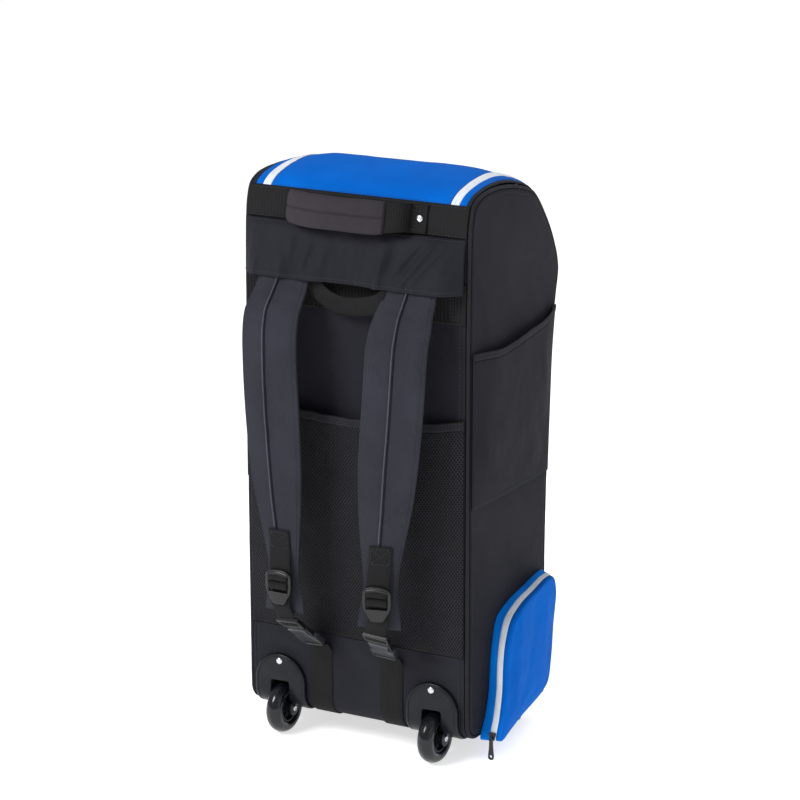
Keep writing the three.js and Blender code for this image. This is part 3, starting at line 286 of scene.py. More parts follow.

# %% [markdown]
# Webbing is woven much more coarsely: thick ribs run along its length, each crossed by short
# slanted yarns. Binding tape on the hems and the cloth over the piping is the same stuff in a
# finer grade. The rib is a folded wave across the map and the yarns are a slanted one. Their
# height also sets the colour, lighter on the crowns and nearly black in the grooves: painted shade.

# %% Webbing, binding and thread
def ribbed_webbing(name, dark, light, rib, yarn, roughness=0.78, relief=0.3):
    finish = Finish(name, roughness, specular_ior_level=0.2)
    across, along = finish.cloth_map()
    ridge = finish.math("ABSOLUTE", finish.wave(across, 2 * rib))
    twist = finish.wave(finish.weigh(across, 0.9, along), yarn)
    height = finish.times(ridge, finish.weigh(twist, 0.25, 0.75))
    # Painted shade: the rib height paints the crowns lighter and the grooves between ribs nearly black.
    finish.paint(finish.weigh(finish.cloud(3.0, 4.0), 0.3, finish.times(height, 0.7)), dark, light)
    finish.bump(height, relief)
    return finish.material


WEBBING = ribbed_webbing("black webbing", (3, 3, 4), (35, 35, 37), 1.9, 1.5)
BAND_WEBBING = ribbed_webbing("band webbing", (4, 4, 5), (38, 38, 40), 1.4, 1.6, 0.8, 0.25)
BINDING = ribbed_webbing("binding tape", (16, 16, 19), (46, 46, 52), 0.9, 1.1, 0.8, 0.15)
THREAD = ribbed_webbing("sewing thread", (30, 30, 33), (78, 78, 84), 0.4, 0.9, 0.7, 0.1)
BLUE_THREAD = ribbed_webbing("blue thread", (0, 84, 180), (20, 128, 232), 0.4, 0.9, 0.6, 0.1)
WHITE_THREAD = ribbed_webbing("white thread", (206, 212, 220), (252, 252, 255), 0.4, 0.9, 0.6, 0.1)
print("webbing finishes:", WEBBING.name, BAND_WEBBING.name, BINDING.name, THREAD.name)

# %% [markdown]
# The zip tapes are fine white twill with a pressed edge. Spacer net covers the lower back: a
# knitted black sheet full of small round holes in staggered rows. The back panel lies right
# behind it, and the holes are painted nearly black as painted shade, with a raised net round them.
# The distance to the nearest of two offset lattices of hole centres gives both colour and relief.

# %% Zip tape and net
def zip_tape_finish():
    finish = Finish("white zip tape", 0.62, sheen_weight=0.1, specular_ior_level=0.4)
    across, along = finish.cloth_map()
    threads = finish.wave(finish.weigh(across, 1.2, along), 0.8)
    soil = finish.between(finish.cloud(18, 4.0), 0.0, 1.0, 0.35, 0.75)
    finish.paint(finish.weigh(threads, 0.15, finish.times(soil, 0.6)), (248, 251, 255), (222, 229, 236))
    finish.bump(threads, 0.08)
    return finish.material


def net_finish(pitch, stagger, hole):
    finish = Finish("spacer net", 0.7, specular_ior_level=0.2)
    across, along = finish.cloth_map()
    lattices = []
    for shift in (0.0, 0.5):
        offsets = []
        for value, size in ((across, pitch), (along, stagger)):
            share = finish.math("FRACT", finish.weigh(value, 1 / size, shift))
            offsets.append(finish.times(finish.math("SUBTRACT", share, 0.5), size))
        square = finish.weigh(offsets[0], offsets[0], finish.times(offsets[1], offsets[1]))
        lattices.append(finish.math("SQRT", square))
    nearest = finish.math("MINIMUM", *lattices)
    strand = finish.between(nearest, 0.0, 1.0, hole * 0.9, hole * 1.12)
    wear_and_dust = finish.between(finish.cloud(60, 3.0), 0.75, 1.0, 0.35, 0.65)
    shade = finish.times(strand, finish.weigh(finish.cloud(2.5, 3.0), 0.5, 0.6))
    # Painted shade: the holes are painted nearly black and the strands lighter, and dust and wear vary the tone.
    finish.paint(finish.times(shade, wear_and_dust), (1, 1, 2), (50, 50, 58))
    finish.bump(strand, 0.6)
    return finish.material


ZIP_TAPE = zip_tape_finish()
NET = net_finish(4.6, 6.8, 1.72)
print("zip and net finishes:", ZIP_TAPE.name, NET.name)

# %% [markdown]
# The buckles are moulded nylon: nearly black, with the faint orange peel of the mould. The wheel
# housings are a harder, blue-grey plastic with more gloss, and the small wheels are polished
# cast urethane. Fine scuffs break up the gloss near their edges. The rivets and axle are steel.

# %% Plastic, rubber and steel
def moulded(name, dark, light, roughness, coat, peel=0.012, scuff=0.1, gloss=0.5):
    finish = Finish(name, roughness, coat_weight=coat, coat_roughness=0.12, specular_ior_level=gloss)
    clouds = finish.between(finish.cloud(14, 4.0), 0.0, 1.0, 0.3, 0.7)
    grain = finish.cloud(0.9, 2.0)
    finish.paint(finish.weigh(grain, 0.3, finish.times(clouds, 0.5)), dark, light)
    scuffs = finish.cloud(5, 5.0, (1, 1, 4))
    finish.dull(finish.between(scuffs, roughness - scuff / 2, roughness + scuff, 0.4, 0.72))
    finish.bump(grain, peel)
    return finish.material


BUCKLE_PLASTIC = moulded("buckle nylon", (8, 8, 10), (22, 23, 26), 0.34, 0.05, 0.006, 0.1, 0.42)
# The clip's lower half is a lighter copy of the nearly black nylon: painted light, for the light that its wedge face
# catches.
LIT_CLIP_PLASTIC = moulded("clip nylon painted lighter", (30, 31, 35), (58, 60, 67), 0.36, 0.1)
HOUSING_PLASTIC = moulded("housing plastic", (10, 12, 16), (25, 28, 35), 0.32, 0.03, 0.005, 0.08, 0.22)
WHEEL_URETHANE = moulded("wheel urethane", (8, 9, 13), (20, 22, 29), 0.19, 0.2, 0.005, 0.08, 0.34)


def turned_steel():
    finish = Finish("plated steel", 0.28, metallic=1.0)
    brushed = finish.cloud(1.2, 3.0, (1, 5, 1))
    finish.paint(brushed, (190, 193, 196), (232, 234, 236))
    finish.dull(finish.between(brushed, 0.2, 0.4, 0.3, 0.7))
    finish.bump(brushed, 0.02)
    return finish.material


STEEL = turned_steel()
print("hard finishes:", BUCKLE_PLASTIC.name, HOUSING_PLASTIC.name, WHEEL_URETHANE.name, STEEL.name)

# %% [markdown]
# Two panels stand as the sides of the bag, and one long strip of cloth runs between them: up the
# back, over the crown and down the front. Its side outline is a smooth curve through a short
# table of places. Columns are shares of the base depth and of the body height, and of the height
# by which the cloth swells midway between the sides. Sampling the curve once gives every panel,
# band and seam its place by how far along the cloth it lies.

# %% The side outline of the body
HALF_BODY = 180
BASE_DEPTH = 246
BODY_HEIGHT = 789
CROWN_PUFF = 18
OUTLINE = [
    (0, 0, 0), (0, 0.3, 0), (0.004, 0.62, 0), (0.012, 0.86, 0), (0.022, 0.93, 0), (0.035, 0.955, 0),
    (0.065, 0.98, 0), (0.125, 0.992, 0.06), (0.21, 0.998, 0.2), (0.33, 1, 0.5), (0.5, 0.995, 0.95),
    (0.66, 0.984, 1), (0.8, 0.967, 0.9), (0.955, 0.915, 0.7), (1.061, 0.863, 0.5), (1.118, 0.812, 0.3),
    (1.094, 0.768, 0.3), (1.07, 0.731, 0.35), (1.037, 0.66, 0.45), (1.016, 0.565, 0.5),
    (0.99, 0.42, 0.5), (0.976, 0.28, 0.35), (0.982, 0.14, 0.15), (1, 0, 0),
]
OUTLINE_SAMPLES = 900


def on_spline(points, share, closed=False):
    """A place on a smooth curve through points, with knots spaced by the root of their distance."""
    count = len(points)
    place = (count if closed else count - 1) * share
    first = int(place)
    weight = place - first
    if not closed and first == count - 1:
        first, weight = count - 2, 1.0
    here = points[first % count]
    ahead = points[(first + 1) % count]
    before = points[first - 1] if closed or first > 0 else 2 * here - ahead
    beyond = points[(first + 2) % count] if closed or first + 2 < count else 2 * ahead - here
    spans = ((before, here), (here, ahead), (ahead, beyond))
    knots = [max((b - a).length_squared, 1e-8) ** 0.25 for a, b in spans]
    leave = (here - before) / knots[0] - (ahead - before) / (knots[0] + knots[1]) + (ahead - here) / knots[1]
    reach = (ahead - here) / knots[1] - (beyond - here) / (knots[1] + knots[2]) + (beyond - ahead) / knots[2]
    leave, reach = leave * knots[1], reach * knots[1]
    square = -3 * here + 3 * ahead - 2 * leave - reach
    cube = 2 * here - 2 * ahead + leave + reach
    return here + leave * weight + square * weight**2 + cube * weight**3


outline_rows = [
    Vector((puff * CROWN_PUFF, depth * BASE_DEPTH, height * BODY_HEIGHT)) for depth, height, puff in OUTLINE
]
outline_runs, outline_places = [], []
for index in range(OUTLINE_SAMPLES + 1):
    sample = on_spline(outline_rows, index / OUTLINE_SAMPLES)
    behind = on_spline(outline_rows, max(0, (index - 0.5) / OUTLINE_SAMPLES))
    ahead = on_spline(outline_rows, min(1, (index + 0.5) / OUTLINE_SAMPLES))
    slope = Vector((ahead.y - behind.y, ahead.z - behind.z)).normalized()
    step = math.hypot(sample.y - outline_places[-1][0], sample.z - outline_places[-1][1]) if index else 0
    outline_runs.append(outline_runs[-1] + step if index else 0.0)
    outline_places.append((sample.y, sample.z, sample.x, -slope.y, slope.x))
OUTLINE_LENGTH = outline_runs[-1]


def between_rows(keys, rows, key):
    """Straight reading of a table of rows, between the two nearest keys."""
    if key <= keys[0]:
        return rows[0]
    if key >= keys[-1]:
        return rows[-1]
    upper = bisect.bisect_left(keys, key)
    share = (key - keys[upper - 1]) / (keys[upper] - keys[upper - 1])
    return tuple(low + (high - low) * share for low, high in zip(rows[upper - 1], rows[upper]))


def on_outline(run):
    """Place, puff and outward direction on the outline: y, z, puff, out_y, out_z."""
    return between_rows(outline_runs, outline_places, run)


crest = max(range(len(outline_places)), key=lambda index: outline_places[index][1])
back_heights = [row[1] for row in outline_places[:crest]]
back_rows = [(run, row[0]) for run, row in zip(outline_runs, outline_places[:crest])]
front_places = outline_places[crest:][::-1]
front_heights = [row[1] for row in front_places]
front_rows = [(run, row[0]) for run, row in zip(outline_runs[crest:][::-1], front_places)]


def back_run(height):
    return between_rows(back_heights, back_rows, height)[0]


def back_at(height):
    return between_rows(back_heights, back_rows, height)[1]


def front_run(height):
    return between_rows(front_heights, front_rows, height)[0]


def front_at(height):
    return between_rows(front_heights, front_rows, height)[1]


def skin_point(x, run, out=0.0):
    """A place on the body's cloth, pushed out of it by some millimetres."""
    y, z, puff, out_y, out_z = on_outline(run)
    lift = puff * (1 - abs(x / HALF_BODY) ** 6) + out
    return Vector((x, y + out_y * lift, z + out_z * lift))


def skin_out(run):
    """The outward direction of the body's cloth."""
    return Vector((0, *on_outline(run)[3:]))


print("outline length, mm:", round(OUTLINE_LENGTH, 1), "crest at", round(max(back_heights), 1))

# %% [markdown]
# Most pieces are one of two meshes: a grid of points over a piece of flat cloth, or a section
# swept along a path, which suits webbing, piping and cords. Both write the flat cut into the
# map that the finishes read. A grid stays one layer thick in its own mesh, and a Solidify
# modifier gives the cloth its wall on the inner side, so the outer face stays where it is.

# %% Grids and sweeps
SPLINE_STEPS = 400
CORD_SIDES = 12
SHARP_EDGE = 40


def steps(low, high, size):
    """Evenly spaced values from low to high, about size apart."""
    count = max(1, round(abs(high - low) / size))
    return [low + (high - low) * index / count for index in range(count + 1)]


def lengths(points):
    """The running length along a row of places."""
    runs = [0.0]
    for before, after in zip(points, points[1:]):
        runs.append(runs[-1] + (after - before).length)
    return runs


def even(points, count):
    """The same line again, in equal steps."""
    runs = lengths(points)
    rows = [tuple(point) for point in points]
    return [Vector(between_rows(runs, rows, runs[-1] * index / count)) for index in range(count + 1)]


def spaced_path(points, count):
    """Evenly spaced places on the smooth curve through points."""
    return even([on_spline(points, index / SPLINE_STEPS) for index in range(SPLINE_STEPS + 1)], count)


def circle(radius, count, middle=(0, 0)):
    turns = [2 * math.pi * index / count for index in range(count)]
    return [(middle[0] + radius * math.cos(turn), middle[1] + radius * math.sin(turn)) for turn in turns]


def oval(wide, deep):
    """A cord's section: half its width and half its depth."""
    return [(wide * a, deep * b) for a, b in circle(1, CORD_SIDES)]


def quads(rows, columns, wrap=False, closed=False):
    """The faces of a grid of points. Wrap joins the last column to the first, closed the last row."""
    for row in range(rows if closed else rows - 1):
        here, there = row * columns, (row + 1) % rows * columns
        for column in range(columns if wrap else columns - 1):
            ahead = (column + 1) % columns
            yield [here + column, here + ahead, there + ahead, there + column]


def cells(across, along):
    """The corners of the same faces on the flat map."""
    for low, high in zip(along, along[1:]):
        for left, right in zip(across, across[1:]):
            yield [(left, low), (right, low), (right, high), (left, high)]


def make_piece(name, points, faces, corners, finish):
    mesh = bpy.data.meshes.new(name)
    mesh.from_pydata([bag_origin + point / 1000 for point in points], [], faces)
    cut = mesh.uv_layers.new(name="cut")
    cut.data.foreach_set("uv", [value / 1000 for corner in corners for value in corner])
    mesh.materials.append(finish)
    mesh.shade_smooth()
    piece = bpy.data.objects.new(name, mesh)
    bpy.context.scene.collection.objects.link(piece)
    return piece


def thicken(piece, wall):
    """Gives a cloth its wall, on the inner side."""
    solid = piece.modifiers.new("cloth wall", "SOLIDIFY")
    solid.thickness = wall / 1000
    solid.offset = -1
    return piece


def mend(piece, soft=False):
    """Turns every face outward. A hard piece also loses doubled points and gets crisp edges."""
    work = bmesh.new()
    work.from_mesh(piece.data)
    if not soft:
        bmesh.ops.remove_doubles(work, verts=work.verts, dist=1e-6)
    bmesh.ops.recalc_face_normals(work, faces=work.faces)
    work.to_mesh(piece.data)
    work.free()
    if not soft:
        piece.data.set_sharp_from_angle(angle=math.radians(SHARP_EDGE))
    return piece


def cloth_grid(name, across, along, place, finish, wall=0.0, wrap=False, flip=False):
    """A grid of points place(a, b). With wrap the last column is the first one again."""
    columns = across[:-1] if wrap else across
    way = -1 if flip else 1
    points = [place(a, b) for b in along for a in columns]
    faces = [face[::way] for face in quads(len(along), len(columns), wrap)]
    corners = [corner for cell in cells(across, along) for corner in cell[::way]]
    piece = make_piece(name, points, faces, corners, finish)
    return thicken(piece, wall) if wall else piece


def swept(name, path, across, section, finish, loop=False):
    """A section of (across, out) pairs swept along a path. Both may be rules that read the step."""
    rings = []
    last = len(path) - 1
    for index, point in enumerate(path):
        before = path[index - 1] if index or loop else point
        after = path[(index + 1) % len(path)] if index < last or loop else point
        aside = across(index) if callable(across) else across
        out = aside.cross((after - before).normalized()).normalized()
        pairs = section(index) if callable(section) else section
        rings.append([point + aside * a + out * o for a, o in pairs])
    around = len(rings[0])
    middle_ring = rings[len(rings) // 2]
    reach = lengths(middle_ring + middle_ring[:1])
    runs = lengths(path + path[:1])
    points = [point for ring in rings for point in ring]
    faces = list(quads(len(rings), around, wrap=True, closed=loop))
    corners = [corner for cell in cells(reach, runs if loop else runs[:-1]) for corner in cell]
    if not loop:
        for ring, turn in ((0, -1), (last, 1)):
            faces.append([ring * around + side for side in range(around)][::turn])
            corners.extend([(reach[side], runs[ring]) for side in range(around)][::turn])
    piece = make_piece(name, points, faces, corners, finish)
    work = bmesh.new()
    work.from_mesh(piece.data)
    inside_out = work.calc_volume(signed=True) < 0
    work.free()
    if inside_out:
        piece.data.flip_normals()
    return piece


def wear(piece, slot, *nodes, body="bag"):
    """The piece stands for its CAD nodes and rides on a body. Its slot is not used."""
    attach(piece, body)
    if nodes:
        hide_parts(*nodes)
    print(f"{piece.name}: {len(piece.data.polygons)} faces")
    return piece


# %% [markdown]
# Nothing says sewn like stitches, and a row of them is cheap: each one is a short bead of thread,
# fattest in the middle, whose ends dive into the cloth. A row is given as places on the cloth
# with the cloth's outward direction at each, and the beads are spaced evenly along it.

# %% Stitches
# Columns: share of the stitch's length, share of its thickness, how far it stands out
STITCH_SHAPE = [(0, 0.4, -0.9), (0.2, 1, 0.1), (0.8, 1, 0.1), (1, 0.4, -0.9)]
STITCH_LENGTH = 3.4
STITCH_GAP = 1.5
STITCH_SIDES = 5
THREAD_THICK = 0.42
ZIP_THREAD_THICK = 0.34


def sew(name, rows, finish=THREAD, slot="webbing", thick=THREAD_THICK):
    """Rows of raised stitches. A row is a list of (place, outward direction)."""
    bead = list(quads(len(STITCH_SHAPE), STITCH_SIDES, wrap=True))
    bead_map = [corner for cell in cells(range(STITCH_SIDES + 1), range(len(STITCH_SHAPE))) for corner in cell]
    last = len(STITCH_SHAPE) - 1
    points, faces, corners = [], [], []
    for row in rows:
        runs = lengths([place for place, out in row])
        read = [(*place, *out) for place, out in row]
        count = max(1, int(runs[-1] / (STITCH_LENGTH + STITCH_GAP)))
        for stitch in range(count):
            start = (stitch + 0.5) * runs[-1] / count - STITCH_LENGTH / 2
            first = len(points)
            for share, size, stand in STITCH_SHAPE:
                key = start + STITCH_LENGTH * share
                here, ahead, behind = (between_rows(runs, read, key + shift) for shift in (0, 1, -1))
                spot, out = Vector(here[:3]), Vector(here[3:]).normalized()
                aside = (Vector(ahead[:3]) - Vector(behind[:3])).cross(out).normalized()
                for a, o in circle(1, STITCH_SIDES):
                    points.append(spot + out * thick * (stand + size * o) + aside * thick * size * a)
            faces.extend([first + index for index in face] for face in bead)
            corners.extend(bead_map)
            for ring, way in ((0, -1), (last, 1)):
                faces.append([first + ring * STITCH_SIDES + turn for turn in range(STITCH_SIDES)][::way])
                corners.extend([(turn, ring) for turn in range(STITCH_SIDES)])
    return wear(mend(make_piece(name, points, faces, corners, finish), soft=True), slot)


def row_up(place, x, low, high, size=4):
    """A row of stitches that runs along the body's cloth."""
    return [(place(x, run), skin_out(run)) for run in steps(low, high, size)]


def row_across(place, run, half, size=4):
    """A row of stitches from side to side, with its ends a few millimetres short of half."""
    return [(place(x, run), skin_out(run)) for x in steps(-half + 4, half - 4, size)]


# %% [markdown]
# Cloth is never quite flat. Broad folds come from smooth noise, which is the same each time the
# script runs. Single creases that show in a sewn panel, such as those that pull from the corner
# of a seam, are drawn one by one: a ridge or a groove along a line that fades at both ends.

# %% Folds and creases
def folds(a, b, seed, size, height, stretch=1.0):
    """Broad soft folds. With a stretch over 1 they run long in the second direction."""
    place = Vector((a / size, b / (size * stretch), seed))
    return height * (noise.noise(place) + 0.45 * noise.noise(place * 2.1) + 0.2 * noise.noise(place * 4.7))


def bell(offset, width):
    """1 where the offset is nothing, falling off smoothly over a width."""
    return math.exp(-((offset / width) ** 2))


def creases(a, b, lines):
    """Lines of (a, b) to (a, b) with a width and a height, each fading at both ends."""
    total = 0.0
    for from_a, from_b, to_a, to_b, width, height in lines:
        run_a, run_b = to_a - from_a, to_b - from_b
        share = ((a - from_a) * run_a + (b - from_b) * run_b) / (run_a**2 + run_b**2)
        if -0.25 < share < 1.25:
            near = min(1.0, max(0.0, share))
            off = math.hypot(a - from_a - run_a * near, b - from_b - run_b * near)
            if off < 3.5 * width:
                total += height * math.sin(math.pi * (share + 0.25) / 1.5) * bell(off, width)
    return total


def calm(share):
    """1 in the middle of a span of -1 to 1 and 0 at its sewn ends."""
    return max(0.0, 1 - abs(share) ** 6)


# %% [markdown]
# The back panel is plain body cloth between the lower seam and the crown seam. The lower panel
# continues it down to the base. A topstitched welt runs beside the piping on both sides, so the
# cloth dips in a fine groove there. Long soft folds hang in the back panel, and creases pull
# across the lower one from above the wheel housings, where stiff plastic meets loose cloth.

# %% Back, lower, base and front panels
SEAM_GAP = 0.3
CLOTH_WALL = 2
PIPING_RADIUS = 2.8
SKIN_HALF = HALF_BODY - 2 * PIPING_RADIUS - SEAM_GAP
WELT = 168
LOWER_PANEL_HEIGHT = 128
CROWN_SEAM_HEIGHT = 772
FRONT_HEM_HEIGHT = 60
BACK_CREASES = [
    (118, 606, 152, 556, 5, 2.2), (140, 600, 166, 575, 4, 1.4), (-150, 604, -120, 560, 5, 1.6),
    (-40, 560, 30, 500, 14, -1.6), (20, 596, 60, 530, 9, 1.2),
]
LOWER_CREASES = [
    (88, 119, 172, 100, 9, 3.0), (96, 104, 170, 84, 7, -1.6), (-158, 112, -84, 94, 9, 2.8),
    (-150, 98, -86, 84, 6, -1.4), (-30, 120, 24, 60, 11, -1.4), (-10, 124, 34, 92, 8, 1.3),
    (-36, 40, 30, 16, 9, 1.2), (84, 40, 82, 90, 6, 1.0),
]
TUCK = 30
WELT_DEPTH = 0.9
SKIN_LIMITS = [-SKIN_HALF, -WELT + 2, WELT - 2, SKIN_HALF]


def tuck(z):
    """How far the back bends in under the bag near its base, as a quarter of a circle."""
    rise = min(TUCK, max(0.0, TUCK - z))
    return TUCK - math.sqrt(TUCK**2 - rise**2)


def welt(x):
    return -WELT_DEPTH * bell(abs(x) - WELT, 0.9)


def back_cloth(x, run):
    z = on_outline(run)[1]
    relief = folds(x, z, 3.1, 62, 1.5, 2.2) * calm(x / WELT) + creases(x, z, BACK_CREASES)
    return skin_point(x, run, relief + welt(x))


def lower_cloth(x, run):
    relief = (folds(x, run, 8.4, 55, 1.3) + creases(x, run, LOWER_CREASES)) * calm(x / WELT)
    spot = skin_point(x, run, relief * min(1, run / 12) * min(1, (LOWER_PANEL_HEIGHT - run) / 5) + welt(x))
    return spot + FORWARD * tuck(run)


lower_seam = back_run(LOWER_PANEL_HEIGHT)
crown_seam = back_run(CROWN_SEAM_HEIGHT)
front_seam = front_run(FRONT_HEM_HEIGHT)
left_edge, middle_span, right_edge = (
    steps(low, high, size) for low, high, size in zip(SKIN_LIMITS, SKIN_LIMITS[1:], (0.9, 4, 0.9))
)
edge_columns = left_edge[:-1] + middle_span + right_edge[1:]
back_rows_up = steps(lower_seam, crown_seam, 4)
back = cloth_grid("back_panel_cloth", edge_columns, back_rows_up, back_cloth, BODY_CLOTH, CLOTH_WALL)
wear(back, "black_cloth", "back_panel")
print("lower seam, crown seam and front seam at", round(lower_seam), round(crown_seam), round(front_seam))

# %% Lower panel, base and front hem
SLOT_HALF = 14.7
SHELL_WALL = 2.5
WELL_RADIUS = WHEEL_RADIUS + 5
WELL_REACH = WELL_RADIUS + SHELL_WALL
FOOT_ROWS = [0, 0.15, 0.5, 1.1, 2, 3.2, 4.8, 6.8, 9.2]


def open_for_wheels(piece):
    """Cuts away the faces over the two wheel slots."""
    work = bmesh.new()
    work.from_mesh(piece.data)
    covered = []
    for face in work.faces:
        middle = (face.calc_center_median() - bag_origin) * 1000
        behind = middle.y < AXLE_SETBACK + WELL_REACH
        beside = abs(abs(middle.x) - WHEEL_SPREAD) < SLOT_HALF + SHELL_WALL
        if beside and behind and middle.z < AXLE_HEIGHT + WELL_REACH:
            covered.append(face)
    bmesh.ops.delete(work, geom=covered, context="FACES")
    work.to_mesh(piece.data)
    work.free()
    return piece


def base_cloth(x, y):
    sag = folds(x, y, 5.2, 60, 0.7) * calm(x / SKIN_HALF) * calm(2 * y / BASE_DEPTH - 1)
    return Vector((x, y, min(0.4, sag)))


def front_cloth(x, run):
    end = min(1, (OUTLINE_LENGTH - run) / 10)
    return skin_point(x, run, folds(x, run, 6.6, 50, 0.8) * calm(x / WELT) * end + welt(x))


lower_rows = FOOT_ROWS + steps(12, lower_seam, 3)
lower = cloth_grid("lower_panel_cloth", edge_columns, lower_rows, lower_cloth, BODY_CLOTH, CLOTH_WALL)
wear(open_for_wheels(lower), "black_cloth", "lower_panel")
base_columns, base_rows = steps(-SKIN_HALF, SKIN_HALF, 5), steps(TUCK, BASE_DEPTH - 1, 5)
base = cloth_grid("base_cloth", base_columns, base_rows, base_cloth, BODY_CLOTH, CLOTH_WALL, flip=True)
wear(open_for_wheels(base), "black_cloth", "base_panel")
front_rows_down = steps(front_seam, OUTLINE_LENGTH, 3)
front = cloth_grid("front_hem_cloth", edge_columns, front_rows_down, front_cloth, BODY_CLOTH, CLOTH_WALL)
wear(front, "black_cloth", "front_hem")

# %% [markdown]
# A row of stitches runs beside each welt, just inside the groove, and one more holds the lower
# panel's top edge. The rows read their places from the same rules that shaped the cloth.

# %% Stitches on the black panels
WELT_STITCH = WELT - 2.4
panel_rows = []
for x in (-WELT_STITCH, WELT_STITCH):
    panel_rows.append(row_up(back_cloth, x, lower_seam + 3, crown_seam - 50))
    panel_rows.append(row_up(lower_cloth, x, 26, lower_seam - 4))
    panel_rows.append(row_up(front_cloth, x, front_seam + 3, OUTLINE_LENGTH - 6))
panel_rows.append(row_across(lower_cloth, lower_seam - 3, WELT))
panel_rows.append(row_across(front_cloth, front_seam + 3, WELT))
sew("panel_stitches", panel_rows)

# %% [markdown]
# The lid is one blue panel that starts at the crown seam, swells over the top and runs all the
# way down the front. A white zip tape edges it on each side, then a narrow blue strip and a
# black gusset that is sewn to the side's piping. The cloth is pulled in a little where it meets
# the tapes, so each panel gets its own low pillow across its width.

# %% Blue lid
LID_HALF = 144
ZIP_EDGE = 156
STRIP_EDGE = 168
lid_rows = steps(crown_seam, front_seam, 5)


def lid_cloth(x, run):
    share = x / LID_HALF
    pillow = 1.6 * (calm(share) - 0.55)
    soft = folds(x, run, 12.7, 85, 2.0, 1.4) * calm(share)
    end = min(1, (run - crown_seam) / 14, (front_seam - run) / 14)
    return skin_point(x, run, (pillow + soft) * max(0, end))


lid = cloth_grid("lid_cloth", steps(-LID_HALF, LID_HALF, 4), lid_rows, lid_cloth, BLUE_CLOTH, CLOTH_WALL)
wear(lid, "blue_cloth", "lid_panel")


def lid_strip(name, sign, near, far, finish, rise, crown):
    """A long narrow band of the lid, crowned across its own width."""
    def place(offset, run):
        share = 2 * offset / (far - near) - 1
        wave = folds(sign * 40, run, near, 45, 0.35, 1)
        return skin_point(sign * (near + offset), run, rise + crown * (1 - abs(share) ** 3) + wave)

    return cloth_grid(name, steps(0, far - near, 1.2), lid_rows, place, finish, CLOTH_WALL, flip=sign < 0)


for side, sign in SIDES:
    strip = lid_strip(f"lid_strip_cloth_{side}", sign, ZIP_EDGE, STRIP_EDGE, BLUE_CLOTH, -0.4, 1.1)
    wear(strip, "blue_cloth", f"lid_strip_{side}")
    gusset = lid_strip(f"gusset_cloth_{side}", sign, STRIP_EDGE, SKIN_HALF, BINDING, -0.5, 0.7)
    wear(gusset, "black_cloth", f"gusset_{side}")

# %% [markdown]
# The lid's zips are worn inside out, as on most bags: what shows is the flat tape, folded over
# the hidden coil into two lips that meet in a fine line down the middle. The fold makes the tape
# stand up a little on both sides of that line, and a row of white stitches holds each edge.

# %% Lid zips
ZIP_LIFT = 0.8
ZIP_OVERLAP = 0.5


def zip_relief(share, lip_at, lip_width, slit, edge_depth, edge_at, lip=0.55, slit_depth=0.9):
    """Two lips, the slit between them and the pressed edges, over a span of -1 to 1."""
    lips = lip * bell(abs(share) - lip_at, lip_width) - slit_depth * bell(share, slit)
    return ZIP_LIFT + lips - edge_depth * max(0, abs(share) - edge_at) / (1 - edge_at)


def slit_columns(low, high, size):
    """Even columns with three more along the slit in the middle."""
    fine = [(low + high) / 2 + shift for shift in (-0.2, 0, 0.2)]
    return sorted(set(round(value, 3) for value in steps(low, high, size) + fine))


def lid_zip(name, sign, near, far):
    def place(offset, run):
        share = 2 * offset / (far - near) - 1
        return skin_point(sign * (near + offset), run, zip_relief(share, 0.14, 0.12, 0.035, 1.1, 0.86))

    columns = slit_columns(0, far - near, 0.7)
    return cloth_grid(name, columns, steps(crown_seam, front_seam, 4), place, ZIP_TAPE, flip=sign < 0)


for side, sign in SIDES:
    tape = lid_zip(f"lid_zip_tape_{side}", sign, LID_HALF - ZIP_OVERLAP, ZIP_EDGE + ZIP_OVERLAP)
    wear(tape, "zip_tape", f"lid_zip_{side}")

# %% [markdown]
# The lid is topstitched in blue beside both zips and along the crown seam, and each zip tape is
# held by two rows of white thread.

# %% Stitches on the lid and its zips
LID_STITCH = LID_HALF - 3.4
ZIP_STITCHES = (LID_HALF + 2.4, STRIP_EDGE - 14.6)


def zip_surface(x, run):
    return skin_point(x, run, ZIP_LIFT)


lid_sewn = [row_up(lid_cloth, sign * LID_STITCH, crown_seam + 3, front_seam - 3, 5) for sign in (-1, 1)]
lid_sewn += [row_across(lid_cloth, run, LID_STITCH) for run in (crown_seam + 3.5, front_seam - 3.5)]
sew("lid_stitches", lid_sewn, BLUE_THREAD, "blue_cloth")
zip_sewn = [
    row_up(zip_surface, sign * x, crown_seam + 3, front_seam - 3, 5) for sign in (-1, 1) for x in ZIP_STITCHES
]
sew("lid_zip_stitches", zip_sewn, WHITE_THREAD, "zip_tape", ZIP_THREAD_THICK)

# %% [markdown]
# Piping runs round both side panels: a cord wrapped in black tape and caught in the seam. It
# follows the side outline, and where the base meets the walls it turns a small round corner. The
# tape that wraps it stands as a low flat lip on the side panel, which reads as a second line.

# %% Piping and side panels
SIDE_PUFF = 4
CORNER_ROUND = 12


